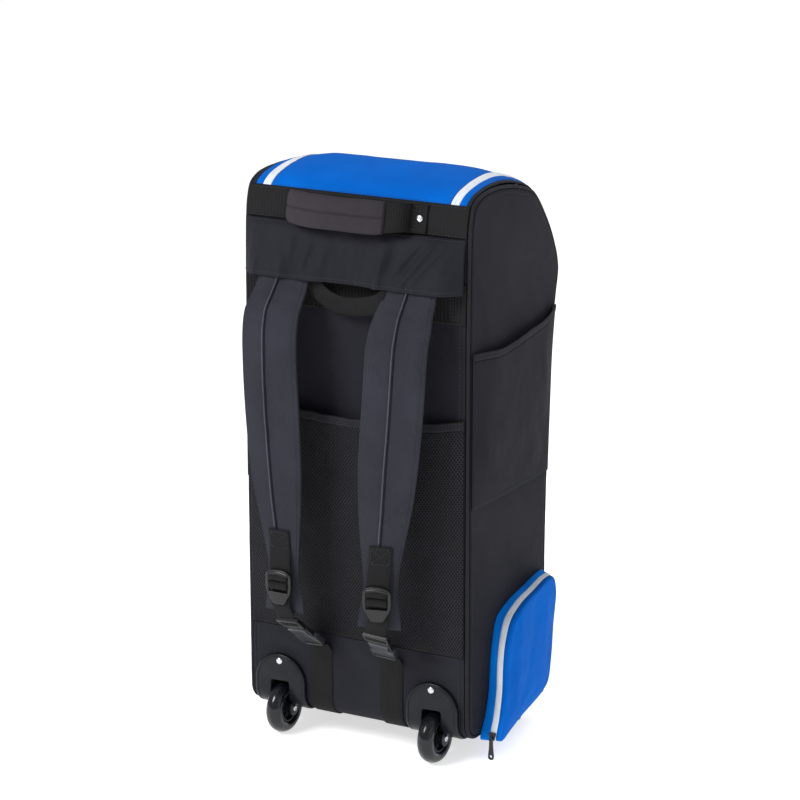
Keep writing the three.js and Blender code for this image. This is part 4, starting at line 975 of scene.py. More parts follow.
def outline_inset(inset, size):
    """The closed side outline, set in by a distance, with rounded bottom corners."""
    ring = []
    for run in steps(0, OUTLINE_LENGTH, size):
        y, z, _, out_y, out_z = on_outline(run)
        ring.append(Vector((0, y - out_y * inset, max(inset, z - out_z * inset))))
    corner, heel = CORNER_ROUND - inset, TUCK - inset
    halfway = len(ring) // 2
    back = [point for index, point in enumerate(ring) if point.z > (TUCK if index < halfway else CORNER_ROUND)]
    foot_back, foot_front = back[0].y, back[-1].y
    front_corner, back_corner = [], []
    for angle in range(0, 91, 10):
        a, b = math.cos(math.radians(angle)), math.sin(math.radians(angle))
        front_corner.append(Vector((0, foot_front - corner + corner * a, inset + corner - corner * b)))
        back_corner.append(Vector((0, foot_back + heel - heel * b, inset + heel - heel * a)))
    base = [Vector((0, y, inset)) for y in steps(foot_front - corner, foot_back + heel, size)[1:-1]]
    return back + front_corner + base + back_corner


def side_puff(y, z):
    across = (y - back_at(z)) / (front_at(z) - back_at(z))
    up = z / BODY_HEIGHT
    return SIDE_PUFF * max(0, 1 - (2 * across - 1) ** 4) * max(0, 1 - (2 * up - 1) ** 6)


cord_section = oval(PIPING_RADIUS, PIPING_RADIUS)
for side, sign in SIDES:
    cord_x = sign * (HALF_BODY - PIPING_RADIUS)
    ring = outline_inset(PIPING_RADIUS, 5)
    path = [Vector((cord_x + 0.25 * folds(p.y, p.z, 2.2, 24, 1), p.y, p.z)) for p in ring]
    piping = swept(f"piping_cord_{side}", path, RIGHT, cord_section, BINDING, loop=True)
    wear(piping, "webbing", f"piping_{side}")

# %% Side panels
SIDE_SEAM_INSET = 2 * PIPING_RADIUS + SEAM_GAP
SIDE_CREASES = {
    "right": [
        (30, 600, 120, 560, 16, 1.4), (60, 740, 190, 690, 26, 1.8), (200, 640, 258, 560, 14, -1.5),
        (20, 690, 60, 560, 12, 1.2),
    ],
    "left": [(40, 610, 140, 575, 18, 1.3), (80, 735, 200, 680, 24, 1.6), (190, 630, 250, 570, 14, -1.4)],
}
SIDE_COLUMNS = 56
SIDE_ROWS = 180
SHOULDER_HEIGHT = 755
LIP = 0.9


def side_boundaries():
    """The four edges of a side panel: foot, top, back and front."""
    ring = outline_inset(SIDE_SEAM_INSET, 3)
    places = range(len(ring))
    top_back = next(index for index in places if ring[index].z > SHOULDER_HEIGHT)
    top_front = max(places, key=lambda index: ring[index].y)
    foot_back = min(places, key=lambda index: ring[index].y * 0.7 + ring[index].z)
    foot_front = min(places, key=lambda index: ring[index].z - ring[index].y * 0.7)
    if foot_back > top_front:
        back = ring[foot_back:] + ring[: top_back + 1]
    else:
        back = ring[foot_back : top_back + 1]
    foot, front = ring[foot_front : foot_back + 1], ring[top_front : foot_front + 1]
    return foot[::-1], ring[top_back : top_front + 1], back, front[::-1]


foot_edge, top_edge, back_edge, front_edge = side_boundaries()
foot_edge, top_edge = even(foot_edge, SIDE_COLUMNS), even(top_edge, SIDE_COLUMNS)
back_edge, front_edge = even(back_edge, SIDE_ROWS), even(front_edge, SIDE_ROWS)


def side_place(column, row):
    """A place on the side panel from its four edges, as y and z."""
    s, t = column / SIDE_COLUMNS, row / SIDE_ROWS
    rails = foot_edge[column] * (1 - t) + top_edge[column] * t
    posts = back_edge[row] * (1 - s) + front_edge[row] * s
    foot = foot_edge[0] * (1 - s) + foot_edge[-1] * s
    top = top_edge[0] * (1 - s) + top_edge[-1] * s
    return rails + posts - (foot * (1 - t) + top * t)


def side_relief(side, column, row, y, z):
    s, t = 2 * column / SIDE_COLUMNS - 1, 2 * row / SIDE_ROWS - 1
    soft = folds(y, z, 20 + len(side), 90, 1.7, 1.3) + creases(y, z, SIDE_CREASES[side])
    return calm(s) * calm(t) * soft - LIP * bell(1 - max(abs(s), abs(t) ** 4), 0.035)


for side, sign in SIDES:
    points = []
    for row in range(SIDE_ROWS + 1):
        for column in range(SIDE_COLUMNS + 1):
            spot = side_place(column, row)
            out = side_puff(spot.y, spot.z) + side_relief(side, column, row, spot.y, spot.z)
            points.append(Vector((sign * (HALF_BODY + out), spot.y, spot.z)))
    faces = [face[::sign] for face in quads(SIDE_ROWS + 1, SIDE_COLUMNS + 1)]
    corners = [(points[index].y, points[index].z) for face in faces for index in face]
    panel = make_piece(f"side_cloth_{side}", points, faces, corners, BODY_CLOTH)
    wear(thicken(panel, CLOTH_WALL), "black_cloth", f"side_panel_{side}")

# %% Stitches round the side panels
SIDE_STITCH_INSET = SIDE_SEAM_INSET + 5
for side, sign in SIDES:
    ring = outline_inset(SIDE_STITCH_INSET, 5)
    row = []
    for p in ring + ring[:1]:
        row.append((Vector((sign * (HALF_BODY + side_puff(p.y, p.z) - 0.25), p.y, p.z)), RIGHT * sign))
    sew(f"side_stitches_{side}", [row])

# %% [markdown]
# Two wide bands of ribbed webbing are sewn across the back: one under the crown seam, which
# carries the haul handle, and one at the strap roots. Their ribs stand upright, a little over
# five millimetres apart, and are deep enough to see as light and dark stripes from across a
# room, so they are real relief and not only a bump.

# %% Ribbed bands
BAND_OUT = 2.3
TOP_BAND_WIDTH = 43
STRAP_BAND_TOP = 668
STRAP_BAND_WIDTH = 60
RIB_PITCH = 5.3
RIB_COLUMNS = 460
STRAP_RIB = 1.3
TOP_RIB = 0.55
ROOT_STITCHES = (-62, -58, 152, 156)
rib_columns = [-SKIN_HALF + 2 * SKIN_HALF * index / RIB_COLUMNS for index in range(RIB_COLUMNS + 1)]


def ribbed_band(name, low, high, depth, seed):
    def place(x, run):
        share = 2 * (run - low) / (high - low) - 1
        stray = 0.2 * noise.noise(Vector((x / 30, run / 15, seed)))
        rib = depth * (abs(math.cos(math.pi * x / RIB_PITCH + stray)) - 0.6)
        edge = -0.9 * max(0, abs(share) - 0.93) / 0.07
        relief = rib * min(1, (1 - abs(share)) / 0.06) + edge + folds(x, run, seed, 40, 0.5)
        return skin_point(x, run, BAND_OUT + relief)

    return cloth_grid(name, rib_columns, steps(low, high, 3.2), place, BAND_WEBBING, 2.0)


band_low = back_run(CROWN_SEAM_HEIGHT - TOP_BAND_WIDTH)
wear(ribbed_band("top_band_webbing", band_low, crown_seam + 0.5, TOP_RIB, 1.7), "webbing", "top_band")
strap_band_low, strap_band_high = back_run(STRAP_BAND_TOP - STRAP_BAND_WIDTH), back_run(STRAP_BAND_TOP)
strap_band = ribbed_band("strap_band_webbing", strap_band_low, strap_band_high, STRAP_RIB, 9.3)
wear(strap_band, "webbing", "strap_band")


# %% Stitches on the bands
def stand_off(out):
    """A rule for places that stand off the cloth by out."""
    return lambda x, run: skin_point(x, run, out)


band_rows = []
for low, high, depth in ((band_low, crown_seam, TOP_RIB), (strap_band_low, strap_band_high, STRAP_RIB)):
    for run in (low + 2.6, high - 3):
        band_rows.append(row_across(stand_off(BAND_OUT + 0.35 * depth), run, SKIN_HALF, 5))
for x in ROOT_STITCHES:
    band_rows.append(row_up(stand_off(BAND_OUT + 0.5), x, strap_band_low + 5, strap_band_high - 5, 5))
sew("band_stitches", band_rows)

# %% [markdown]
# A flap of body cloth hangs over the strap roots. It is sewn along its top and both ends, and
# the straps lift its hem, so it bulges over each strap and dips between them. The pull of the
# straps draws creases that lean from the top seam towards the roots. It is a hung sheet, so its
# flat cut is given: as wide as the back between the pipings, and as long as its drop.

# %% Flap over the strap roots
FLAP_DROP = 76
FLAP_REACH = 28
FLAP_DOWN = [(0, 0), (0.08, 0.3), (0.2, 0.44), (0.5, 0.64), (0.8, 0.88), (1, 1)]
FLAP_ACROSS = [(0, 0.7), (0.2, 0.8), (0.28, 1), (0.87, 1), (0.95, 0.5), (1, 0)]
FLAP_CREASES = [
    (-62, 30, -70, 60, 3.5, 2.4), (58, 14, 50, 76, 6, 3.0), (134, 6, 88, 68, 4.0, 3.0),
    (150, 10, 104, 64, 3.5, 2.4), (-145, 48, -148, 74, 3.5, 2.0), (-103, 50, -104, 76, 5, 2.2),
    (-33, 20, -42, 56, 6, 1.6), (72, 12, 66, 50, 4, -2.0), (118, 8, 78, 60, 4, -2.0),
    (-84, 20, -88, 70, 7, -1.6), (10, 16, 4, 60, 10, 1.4), (164, 20, 150, 60, 4, -1.2),
]
flap_top = band_low - SEAM_GAP


def smooth_table(rows, key):
    """A table read as a smooth curve, so that no kink shows in the cloth."""
    keys, values = [row[0] for row in rows], [(row[1],) for row in rows]
    spread = 0.035
    return sum(between_rows(keys, values, key + shift * spread)[0] for shift in (-1, -0.5, 0, 0.5, 1)) / 5


def flap_cloth(x, down):
    share = down / FLAP_DROP
    lift = smooth_table(FLAP_DOWN, share) * smooth_table(FLAP_ACROSS, abs(x) / SKIN_HALF)
    held = min(1, share * 6) * calm(x / (SKIN_HALF - 2))
    wave = 2.1 * creases(x, down, FLAP_CREASES) + folds(x, down, 15.2, 24, 2.2, 3.2)
    seat = SEAM_GAP + BAND_OUT * min(1, share / 0.5)
    hem = 0.7 if share > 0.95 else 0.0
    return skin_point(x, flap_top - down, seat + CLOTH_WALL + FLAP_REACH * lift + wave * held + hem)


flap_columns = steps(-SKIN_HALF, SKIN_HALF, 2.5)
flap = cloth_grid("yoke_flap_cloth", flap_columns, steps(FLAP_DROP, 0, 2.2), flap_cloth, BODY_CLOTH, 1.4)
wear(flap, "black_cloth", "yoke_flap")
sewn_columns = steps(-SKIN_HALF + 4, SKIN_HALF - 4, 3)
flap_rows = []
for down in (3, FLAP_DROP - 5):
    flap_rows.append([(flap_cloth(x, down), skin_out(flap_top - down)) for x in sewn_columns])
sew("flap_stitches", flap_rows)

# %% [markdown]
# The net pocket covers the back from the lower seam up to a bound hem that sags in the middle.
# The net is stretched over its sewn edges and stands off the panel below the hem, and the hem
# puckers where the tape is longer than the net it binds. Net and hem are one hung sheet.

# %% Net pocket and its hem
MESH_TOP = 476
MESH_SAG = 16
MESH_REACH = 14
HEM_WIDTH = 13


def net_spread(x):
    return 1 - abs(x / SKIN_HALF) ** 4


def net_stand(x, rise=1.0):
    """How far the net stands off the back, under its hem when the rise is 1."""
    return SEAM_GAP + CLOTH_WALL + (MESH_REACH - SEAM_GAP) * rise * net_spread(x)


def net_top(x):
    pucker = 1.3 * noise.noise(Vector((x / 14, 0.4, 2.0))) * calm(x / SKIN_HALF)
    return MESH_TOP - HEM_WIDTH - MESH_SAG * (1 - (x / SKIN_HALF) ** 2) + pucker


def net_cloth(x, percent):
    share = percent / 100
    height = LOWER_PANEL_HEIGHT + (net_top(x) - LOWER_PANEL_HEIGHT) * share
    rise = math.sin(math.pi / 2 * min(1, share * 1.6))
    soft = folds(x, height, 4.4, 48, 1.6, 1.8) * calm(x / SKIN_HALF) * min(1, share * 8)
    pull = 4 * noise.noise(Vector((x / 12, height / 60, 7.0))) * max(0, share - 0.8)
    return skin_point(x, back_run(height), net_stand(x, rise) + soft + pull)


def net_hem(x, up):
    roll = 1.3 * math.sqrt(max(0, 1 - (2 * up / HEM_WIDTH - 1) ** 4))
    pucker = 0.8 * noise.noise(Vector((x / 9, up / 20, 3.3))) * calm(x / SKIN_HALF)
    return skin_point(x, back_run(net_top(x) - 1 + up), net_stand(x) + roll + pucker)


net_height = MESH_TOP - HEM_WIDTH - LOWER_PANEL_HEIGHT
net_columns = steps(-SKIN_HALF, SKIN_HALF, 3.5)
net = cloth_grid("net_pocket_cloth", net_columns, steps(0, 100, 1.1), net_cloth, NET, 1.2)
for corner in net.data.uv_layers["cut"].data:
    corner.uv = (corner.uv[0], corner.uv[1] * net_height / 100)
wear(net, "mesh_cloth", "mesh_pocket")
hem_columns = steps(-SKIN_HALF, SKIN_HALF, 2.2)
hem = cloth_grid("net_hem_binding", hem_columns, steps(0, HEM_WIDTH, 1.1), net_hem, BINDING, 2.6)
wear(hem, "webbing", "mesh_hem")
hem_rows = []
for up in (2.4, HEM_WIDTH - 2.4):
    hem_rows.append([(net_hem(x, up), skin_out(back_run(net_top(x)))) for x in sewn_columns])
sew("net_hem_stitches", hem_rows)

# %% [markdown]
# The haul handle is a length of webbing riveted to the top band at both ends, with a padded cloth
# sleeve round its middle. It follows one smooth path that leaves the band, stands off it and
# comes back. Its woven ribs run across the webbing, so the section swells and thins along the
# path. The sleeve is a cushion: fuller in the middle, drawn in at its hems, and closed by a
# stitched seam along its front.

# %% Haul handle
HAUL_WIDTH = 41
HAUL_DROOP = 6
HAUL_THICK = 2.4
HAUL_HALF = 91
HAUL_TAIL = 22
HAUL_REACH = 32
HAUL_RIB = 3.4
HAUL_HALF_PATH = [(0.98, 0.12), (1, 0.3), (0.96, 0.6), (0.86, 0.82), (0.6, 0.95), (0.3, 1)]
HAUL_STRETCH = {-1: -1.08, 1: 0.97}
haul_run = back_run(CROWN_SEAM_HEIGHT - TOP_BAND_WIDTH / 2)
HAUL_OUT = skin_out(haul_run)
HAUL_UP = Vector((0, HAUL_OUT.z, -HAUL_OUT.y))
HAUL_SEAT = BAND_OUT + SEAM_GAP + HAUL_THICK / 2


def haul_point(x, out):
    return skin_point(x, haul_run) + HAUL_OUT * out


def haul_half(sign):
    """The handle's path from one end to its middle."""
    path = [haul_point(sign * (HAUL_HALF + HAUL_TAIL * share), HAUL_SEAT) for share in (1, 0.6, 0.2)]
    for aside, out in HAUL_HALF_PATH:
        place = haul_point(aside * HAUL_HALF * HAUL_STRETCH[sign], HAUL_SEAT + (HAUL_REACH - HAUL_SEAT) * out)
        path.append(place - HAUL_UP * HAUL_DROOP * (1 - aside**4))
    return path


def webbing_section(width, thick, edge=0.6):
    """A flat strip with rounded edges, with enough points across for its wear."""
    across = [-width / 2, -width / 2 + edge, -width / 4, 0, width / 4, width / 2 - edge, width / 2]
    face = [(a, thick / 2 if abs(a) < width / 2 else thick * 0.15) for a in across]
    return face + [(a, -o) for a, o in reversed(face)]


def woven_ribs(path, pitch, width, thick, depth):
    """A rule for a webbing whose thickness swells and thins along its path."""
    step = (path[1] - path[0]).length
    return lambda index: webbing_section(width, thick * (1 + depth * math.cos(2 * math.pi * index * step / pitch)))


haul_knots = haul_half(-1) + haul_half(1)[::-1]
haul_path = spaced_path(haul_knots, 300)
haul_section = woven_ribs(haul_path, HAUL_RIB, HAUL_WIDTH, HAUL_THICK, 0.34)
wear(swept("haul_handle_webbing", haul_path, HAUL_UP, haul_section, WEBBING), "webbing", "haul_webbing")

# %% Padded sleeve of the haul handle
SLEEVE_START = -94
SLEEVE_END = 62
SLEEVE_HEIGHT = 48
SLEEVE_THICK = 14
SLEEVE_SQUARE = 3.2
sleeve_path = [point for point in spaced_path(haul_knots, 220) if SLEEVE_START <= point.x <= SLEEVE_END]
sleeve_round = circle(1, 112)


def sleeve_section(index):
    share = 2 * index / (len(sleeve_path) - 1) - 1
    full = 1 - 0.07 * abs(share) ** 5 - 0.03 * bell(share - 0.1, 0.35)
    full *= 1 - 0.35 * max(0, abs(share) - 0.97) / 0.03
    hem = -0.7 * bell(abs(share) - 0.93, 0.012)
    ring = []
    for turn, (a, o) in enumerate(sleeve_round):
        squareness = (abs(a) ** SLEEVE_SQUARE + abs(o) ** SLEEVE_SQUARE) ** (-1 / SLEEVE_SQUARE)
        a, o = a * squareness, o * squareness
        soft = hem + folds(share * 60, 28 * math.pi * turn / len(sleeve_round), 3.7, 16, 0.5)
        seam = -2.6 * bell(a * SLEEVE_HEIGHT / 2, 1.1) if o < 0 else 0
        ring.append((a * (SLEEVE_HEIGHT / 2 * full + soft), o * (SLEEVE_THICK / 2 * full + soft + seam)))
    return ring


sleeve = swept("haul_sleeve_pad", sleeve_path, HAUL_UP, sleeve_section, SLEEVE_CLOTH)
wear(sleeve, "handle_cloth", "haul_sleeve")

# %% [markdown]
# Each end of the handle is held by a tubular rivet: a shallow steel dome with a small dimple
# where the punch closed it. The same rivet holds the wheel housings. Turning a profile about an
# axis is the natural way to make it, as it is for the wheels later on.

# %% Rivets
def turned(name, profile, seat, axis, finish, segments=48):
    """A profile of (radius, along) turned about an axis through a seat."""
    side = axis.orthogonal().normalized()
    other = axis.cross(side)
    ring = circle(1, segments)
    points = [seat + axis * along + (side * a + other * b) * radius for radius, along in profile for a, b in ring]
    flat = cells(range(segments + 1), [along for radius, along in profile])
    corners = [corner for cell in flat for corner in cell]
    return mend(make_piece(name, points, list(quads(len(profile), segments, wrap=True)), corners, finish))


RIVET_PROFILE = [
    (0, 1.2), (0.9, 1.25), (1.3, 1.75), (1.9, 2.0), (2.8, 1.92), (3.8, 1.6), (4.6, 1.05), (5, 0.45), (5, 0.15),
    (4.8, 0), (0, 0),
]
HAUL_SEWN = ((-95.5, 0), (-92.5, 1.2), (92.5, 1.2), (95.5, 0))
for side, sign in SIDES:
    seat = haul_point(sign * (HAUL_HALF + HAUL_TAIL / 2), HAUL_SEAT + HAUL_THICK / 2 + 0.1)
    wear(turned(f"haul_rivet_head_{side}", RIVET_PROFILE, seat, HAUL_OUT, STEEL), "steel", f"haul_rivet_{side}")
haul_rows = []
for x, lift in HAUL_SEWN:
    root = haul_point(x, HAUL_SEAT + HAUL_THICK * 0.67 + lift)
    haul_rows.append([(root + HAUL_UP * up, HAUL_OUT) for up in steps(-18, 18, 4)])
sew("haul_stitches", haul_rows)

# %% [markdown]
# A loop of narrower webbing hangs from under the flap, to hook the bag up by. Its two ends are
# sewn under the hem, and the loop opens into a bow that tips slightly forward.

# %% Grab loop
GRAB_WIDTH = 27
GRAB_THICK = 2
GRAB_HALF = 49
GRAB_REACH = 22
GRAB_TOP = 672
GRAB_SAG = 50
GRAB_TILT = 0.12
GRAB_RIB = 3.0
grab_seat = BAND_OUT + SEAM_GAP + (GRAB_THICK + GRAB_TILT * GRAB_WIDTH) / 2
# Columns: shares of the half width, the sag and the reach
GRAB_PATH = [
    (-1.1, 0, 0), (-1.2, 0.16, 0.2), (-1.18, 0.4, 0.6), (-0.98, 0.68, 0.85), (-0.6, 0.9, 0.96), (-0.2, 1, 1),
    (0.2, 1, 1.06), (0.6, 0.93, 1.28), (0.98, 0.83, 1.56), (1.26, 0.7, 1.76), (1.44, 0.52, 1.42),
    (1.52, 0.25, 0.8), (1.54, 0, 0.4),
]
grab_bow = []
for aside, sag, reach in GRAB_PATH:
    y = back_at(GRAB_TOP) - grab_seat - (GRAB_REACH - grab_seat) * reach
    grab_bow.append(Vector((aside * GRAB_HALF, y, GRAB_TOP - GRAB_SAG * sag)))
grab_path = spaced_path(grab_bow, 230)


def grab_across(index):
    """Across the webbing: square to its path, and tipped a little forward."""
    before, after = grab_path[max(0, index - 3)], grab_path[min(len(grab_path) - 1, index + 3)]
    return ((after - before).normalized().cross(FORWARD) - FORWARD * GRAB_TILT).normalized()


grab_section = woven_ribs(grab_path, GRAB_RIB, GRAB_WIDTH, GRAB_THICK, 0.3)
wear(swept("grab_loop_webbing", grab_path, grab_across, grab_section, WEBBING), "webbing", "grab_loop")

# %% [markdown]
# The shoulder straps are long cushions: a sleeve of strap cloth over foam, with one seam down the
# front face that pulls the cloth in between two soft halves, and a narrow bound edge on both
# sides. They leave the band flat, swing out over the shoulders' height, hang nearly straight and
# taper to a thin flared end. One table gives that whole course. Columns: how far down, reach from
# root to full stand-off, spread from the middle, width, thickness, and turn about their length.

# %% Shoulder straps
STRAP_TOP = 715
STRAP_BOTTOM = 178
STRAP_REACH = 73
STRAP_SPREAD = 103
STRAP_WIDTH = 88
STRAP_THICK = 11
SEAM_END = 304
STRAP_TURN = {"left": 0, "right": 13}
STRAP_SEAM = {"left": -0.13, "right": -0.04}
STRAP_TABLE = [
    (0, 0, 0.99, 0.86, 0.7, 0), (0.025, 0, 0.99, 0.86, 0.7, 0), (0.047, 0.08, 0.99, 0.86, 0.75, 0),
    (0.102, 0.259, 0.985, 0.89, 0.8, 0.05), (0.136, 0.394, 0.985, 0.93, 0.9, 0.2),
    (0.166, 0.607, 0.99, 0.97, 0.95, 0.4), (0.196, 0.775, 1, 1, 1, 0.7), (0.251, 0.91, 0.99, 1, 1, 1),
    (0.345, 0.96, 0.97, 1, 1, 1), (0.453, 0.983, 0.935, 1, 1, 1), (0.568, 1, 0.89, 0.97, 1, 1),
    (0.67, 1, 0.85, 0.88, 1, 1), (0.754, 1, 0.81, 0.75, 1, 1), (0.838, 0.983, 0.78, 0.61, 0.9, 1),
    (0.9, 0.972, 0.765, 0.56, 0.6, 1), (0.955, 0.966, 0.755, 0.66, 0.32, 1), (1, 0.961, 0.75, 0.72, 0.28, 1),
]
strap_keys = [row[0] for row in STRAP_TABLE]
STRAP_DROP = STRAP_TOP - STRAP_BOTTOM
STRAP_ROOT = SEAM_GAP + STRAP_THICK * 0.7


def read_smoothly(keys, rows, key):
    """A table read as a smooth curve through its rows, with the slope of its neighbours at each."""
    key = min(keys[-1], max(keys[0], key))
    high = max(1, bisect.bisect_left(keys, key))
    low = high - 1
    span = keys[high] - keys[low]
    share = (key - keys[low]) / span
    square, cube = share**2, share**3

    def slope(index, column):
        first, last = max(0, index - 1), min(len(keys) - 1, index + 1)
        return (rows[last][column] - rows[first][column]) / (keys[last] - keys[first]) * span

    read = []
    for column in range(len(rows[0])):
        value = (2 * cube - 3 * square + 1) * rows[low][column] + (3 * square - 2 * cube) * rows[high][column]
        read.append(value + (cube - 2 * square + share) * slope(low, column) + (cube - square) * slope(high, column))
    return read


def strap_face(share):
    return STRAP_ROOT + (STRAP_REACH - STRAP_ROOT) * share


def strap_at(side, sign, height):
    """Middle, directions and sizes of a strap at a height. Its outer face stands at the reach."""
    down = (STRAP_TOP - height) / STRAP_DROP
    row = read_smoothly(strap_keys, STRAP_TABLE, down)
    above = read_smoothly(strap_keys, STRAP_TABLE, down - 0.02)
    below = read_smoothly(strap_keys, STRAP_TABLE, down + 0.02)
    rise = (min(1, down + 0.02) - max(0, down - 0.02)) * STRAP_DROP
    turn = math.radians(STRAP_TURN[side] * row[5])
    along = Vector((0, strap_face(below[1]) - strap_face(above[1]), rise)).normalized()
    across = Vector((math.cos(turn), math.sin(turn), 0))
    out = across.cross(along).normalized()
    thick = STRAP_THICK * row[4]
    face = Vector((sign * STRAP_SPREAD * row[2], back_at(height) - strap_face(row[1]), height))
    middle = face - out * thick / 2
    return {"middle": middle, "across": across, "out": out, "width": STRAP_WIDTH * row[3], "thick": thick}


def strap_outer(side, place, height, a):
    """How far the strap's outer face stands out of its middle, at a share of its half width."""
    half, thick = place["width"] / 2, place["thick"] / 2
    crown = max(0.0, 1 - abs(a) ** 4.5) ** 0.6
    from_seam = (a - STRAP_SEAM[side]) * half
    seam = 2.0 * bell(from_seam + 2.3, 1.2) - 1.7 * bell(from_seam, 1.1)
    edge = -bell((abs(a) - 0.9) * half, 1.1)
    fold = 2.0 * bell(height - 625, 32) * noise.noise(Vector((a * 1.4, height / 11, 5.5)))
    soft = (folds(a * half, height, 11 + len(side), 34, 1.2, 2.6) + fold) * (1 - a**4)
    end = min(1, (height - STRAP_BOTTOM) / 25)
    return thick * (0.3 + 0.78 * crown) + (seam + soft) * min(1, thick / 4) * end + edge * end


STRAP_COLUMNS = sorted(set(
    [round(share * (1.35 - 0.35 * share * share), 4) for share in steps(-1, 1, 0.0625)]
    + [round(seam + shift * 0.018, 4) for seam in STRAP_SEAM.values() for shift in range(-7, 5)]
))


def strap_ring(side, place, height):
    """Outer face from edge to edge, then the flatter inner face back again."""
    half, thick = place["width"] / 2, place["thick"] / 2
    ring = [(a * half, strap_outer(side, place, height, a)) for a in STRAP_COLUMNS]
    for a in steps(1, -1, 0.125):
        inner = -thick * (0.3 + 0.7 * (1 - abs(a) ** 4)) + 0.3 * folds(a * half, height, 31.0, 30, 1)
        ring.append((a * half * 0.995, inner))
    return ring


for side, sign in SIDES:
    heights = steps(STRAP_TOP, STRAP_BOTTOM, 3.6)
    points, flat = [], []
    for height in heights:
        place = strap_at(side, sign, height)
        ring = strap_ring(side, place, height)
        points.extend(place["middle"] + place["across"] * a + place["out"] * o for a, o in ring)
        flat.extend((a, height) for a, o in ring)
    around = len(ring)
    faces = list(quads(len(heights), around, wrap=True))
    faces.append(list(range(around)))
    faces.append(list(range(len(points) - around, len(points)))[::-1])
    corners = [flat[index] for face in faces for index in face]
    strap = make_piece(f"shoulder_strap_pad_{side}", points, faces, corners, STRAP_CLOTH)
    wear(mend(strap, soft=True), "strap_padding", f"shoulder_strap_{side}")

# %% [markdown]
# A row of stitches follows each strap's seam on both sides, and one more holds each bound edge.
# A thin cord fills the seam where the strap is thick. Its cloth is painted lighter than the
# strap's: a painted highlight on the seam's raised edge.

# %% Stitches on the straps
def strap_row(side, sign, heights, share, off, stand=0.0):
    """Places on the strap's face at a share of its half width and a distance off it."""
    row = []
    for height in heights:
        place = strap_at(side, sign, height)
        half = place["width"] / 2
        a = share + off / half
        out = strap_outer(side, place, height, a) + stand
        row.append((place["middle"] + place["across"] * (a * half) + place["out"] * out, place["out"]))
    return row


sewn_heights = steps(STRAP_TOP - 42, STRAP_BOTTOM + 34, 5)
for side, sign in SIDES:
    seam = STRAP_SEAM[side]
    sewn_places = ((seam, -5.2), (seam, 3.2), (-0.84, 0), (0.84, 0))
    seam_rows = [strap_row(side, sign, sewn_heights, share, off) for share, off in sewn_places]
    sew(f"shoulder_strap_stitches_{side}", seam_rows)
    cord_row = strap_row(side, sign, steps(STRAP_TOP - 6, SEAM_END, 4), seam, -2.2, 0.25)
    cord_path = [place for place, out in cord_row]
    cord = swept(f"shoulder_strap_seam_{side}", cord_path, RIGHT, oval(1.15, 1.0), SEAM_HIGHLIGHT_CLOTH)
    wear(cord, "strap_padding")

# %% [markdown]
# Moulded plates, such as the ladder locks, the clips and the wheel housings, are flat shapes with
# holes, pushed to a thickness and rounded along every edge. A filled 2D curve with extrude and
# bevel does exactly that, holes included. It becomes a mesh straight away and is turned into
# its place on the bag.

# %% A helper for moulded plates
def rounded(points, count=72):
    """An outline as a smooth closed curve through points."""
    ring = [Vector((x, y, 0)) for x, y in points]
    return [tuple(on_spline(ring, index / count, True)[:2]) for index in range(count)]


def box_outline(left, low, right, high, corner, per_corner=6):
    places = []
    for x, y, start in ((right, high, 0), (left, high, 90), (left, low, 180), (right, low, 270)):
        middle_x = x - corner if x == right else x + corner
        middle_y = y - corner if y == high else y + corner
        for step in range(per_corner + 1):
            angle = math.radians(start + 90 * step / per_corner)
            places.append((middle_x + corner * math.cos(angle), middle_y + corner * math.sin(angle)))
    return places


def signed_area(outline):
    return sum(a[0] * b[1] - b[0] * a[1] for a, b in zip(outline, outline[1:] + outline[:1])) / 2


def moulded_plate(name, outline, holes, thick, bevel, turn, finish):
    """A flat shape with holes, rounded along its edges. The turn is a matrix from plate to bag."""
    curve = bpy.data.curves.new(name, "CURVE")
    curve.dimensions = "2D"
    curve.fill_mode = "BOTH"
    curve.extrude = (thick / 2 - bevel) / 1000
    curve.bevel_depth = bevel / 1000
    curve.bevel_resolution = 2
    curve.offset = -bevel / 1000
    for shape, wanted in [(outline, 1)] + [(hole, -1) for hole in holes]:
        shape = shape if signed_area(shape) * wanted > 0 else shape[::-1]
        line = curve.splines.new("POLY")
        line.points.add(len(shape) - 1)
        line.points.foreach_set("co", [value for x, y in shape for value in (x / 1000, y / 1000, 0, 1)])
        line.use_cyclic_u = True
    holder = bpy.data.objects.new(name, curve)
    bpy.context.scene.collection.objects.link(holder)
    bpy.context.view_layer.update()
    flat = holder.evaluated_get(bpy.context.evaluated_depsgraph_get()).to_mesh()
    places = [vertex.co * 1000 for vertex in flat.vertices]
    faces = [list(face.vertices) for face in flat.polygons]
    corners = [places[index][:2] for face in faces for index in face]
    piece = make_piece(name, [turn @ place for place in places], faces, corners, finish)
    bpy.data.objects.remove(holder)
    bpy.data.curves.remove(curve)
    return mend(piece)


def joined(name, pieces):
    """One piece out of several that are moulded or sewn together."""
    first = pieces[0]
    chosen = {"active_object": first, "object": first, "selected_objects": pieces}
    with bpy.context.temp_override(selected_editable_objects=pieces, **chosen):
        bpy.ops.object.join()
    first.name = name
    first.data.name = name
    return first


def plate_frame(middle, across, up):
    """From plate to bag: x is across, y is up, z is out of the plate's face."""
    out = across.cross(up).normalized()
    return Matrix.Translation(middle) @ Matrix((across, up, out)).transposed().to_4x4()


# %% [markdown]
# Each strap ends in the same chain. A tab of webbing is sewn to the strap's face and holds a
# ladder lock. The adjuster webbing is woven over the lock's two inner bars and runs on to the head
# of a side-release clip. From the foot of the clip the anchor webbing goes down the lower panel
# and under the base. Everything in the chain is placed from the strap's own face and slope.

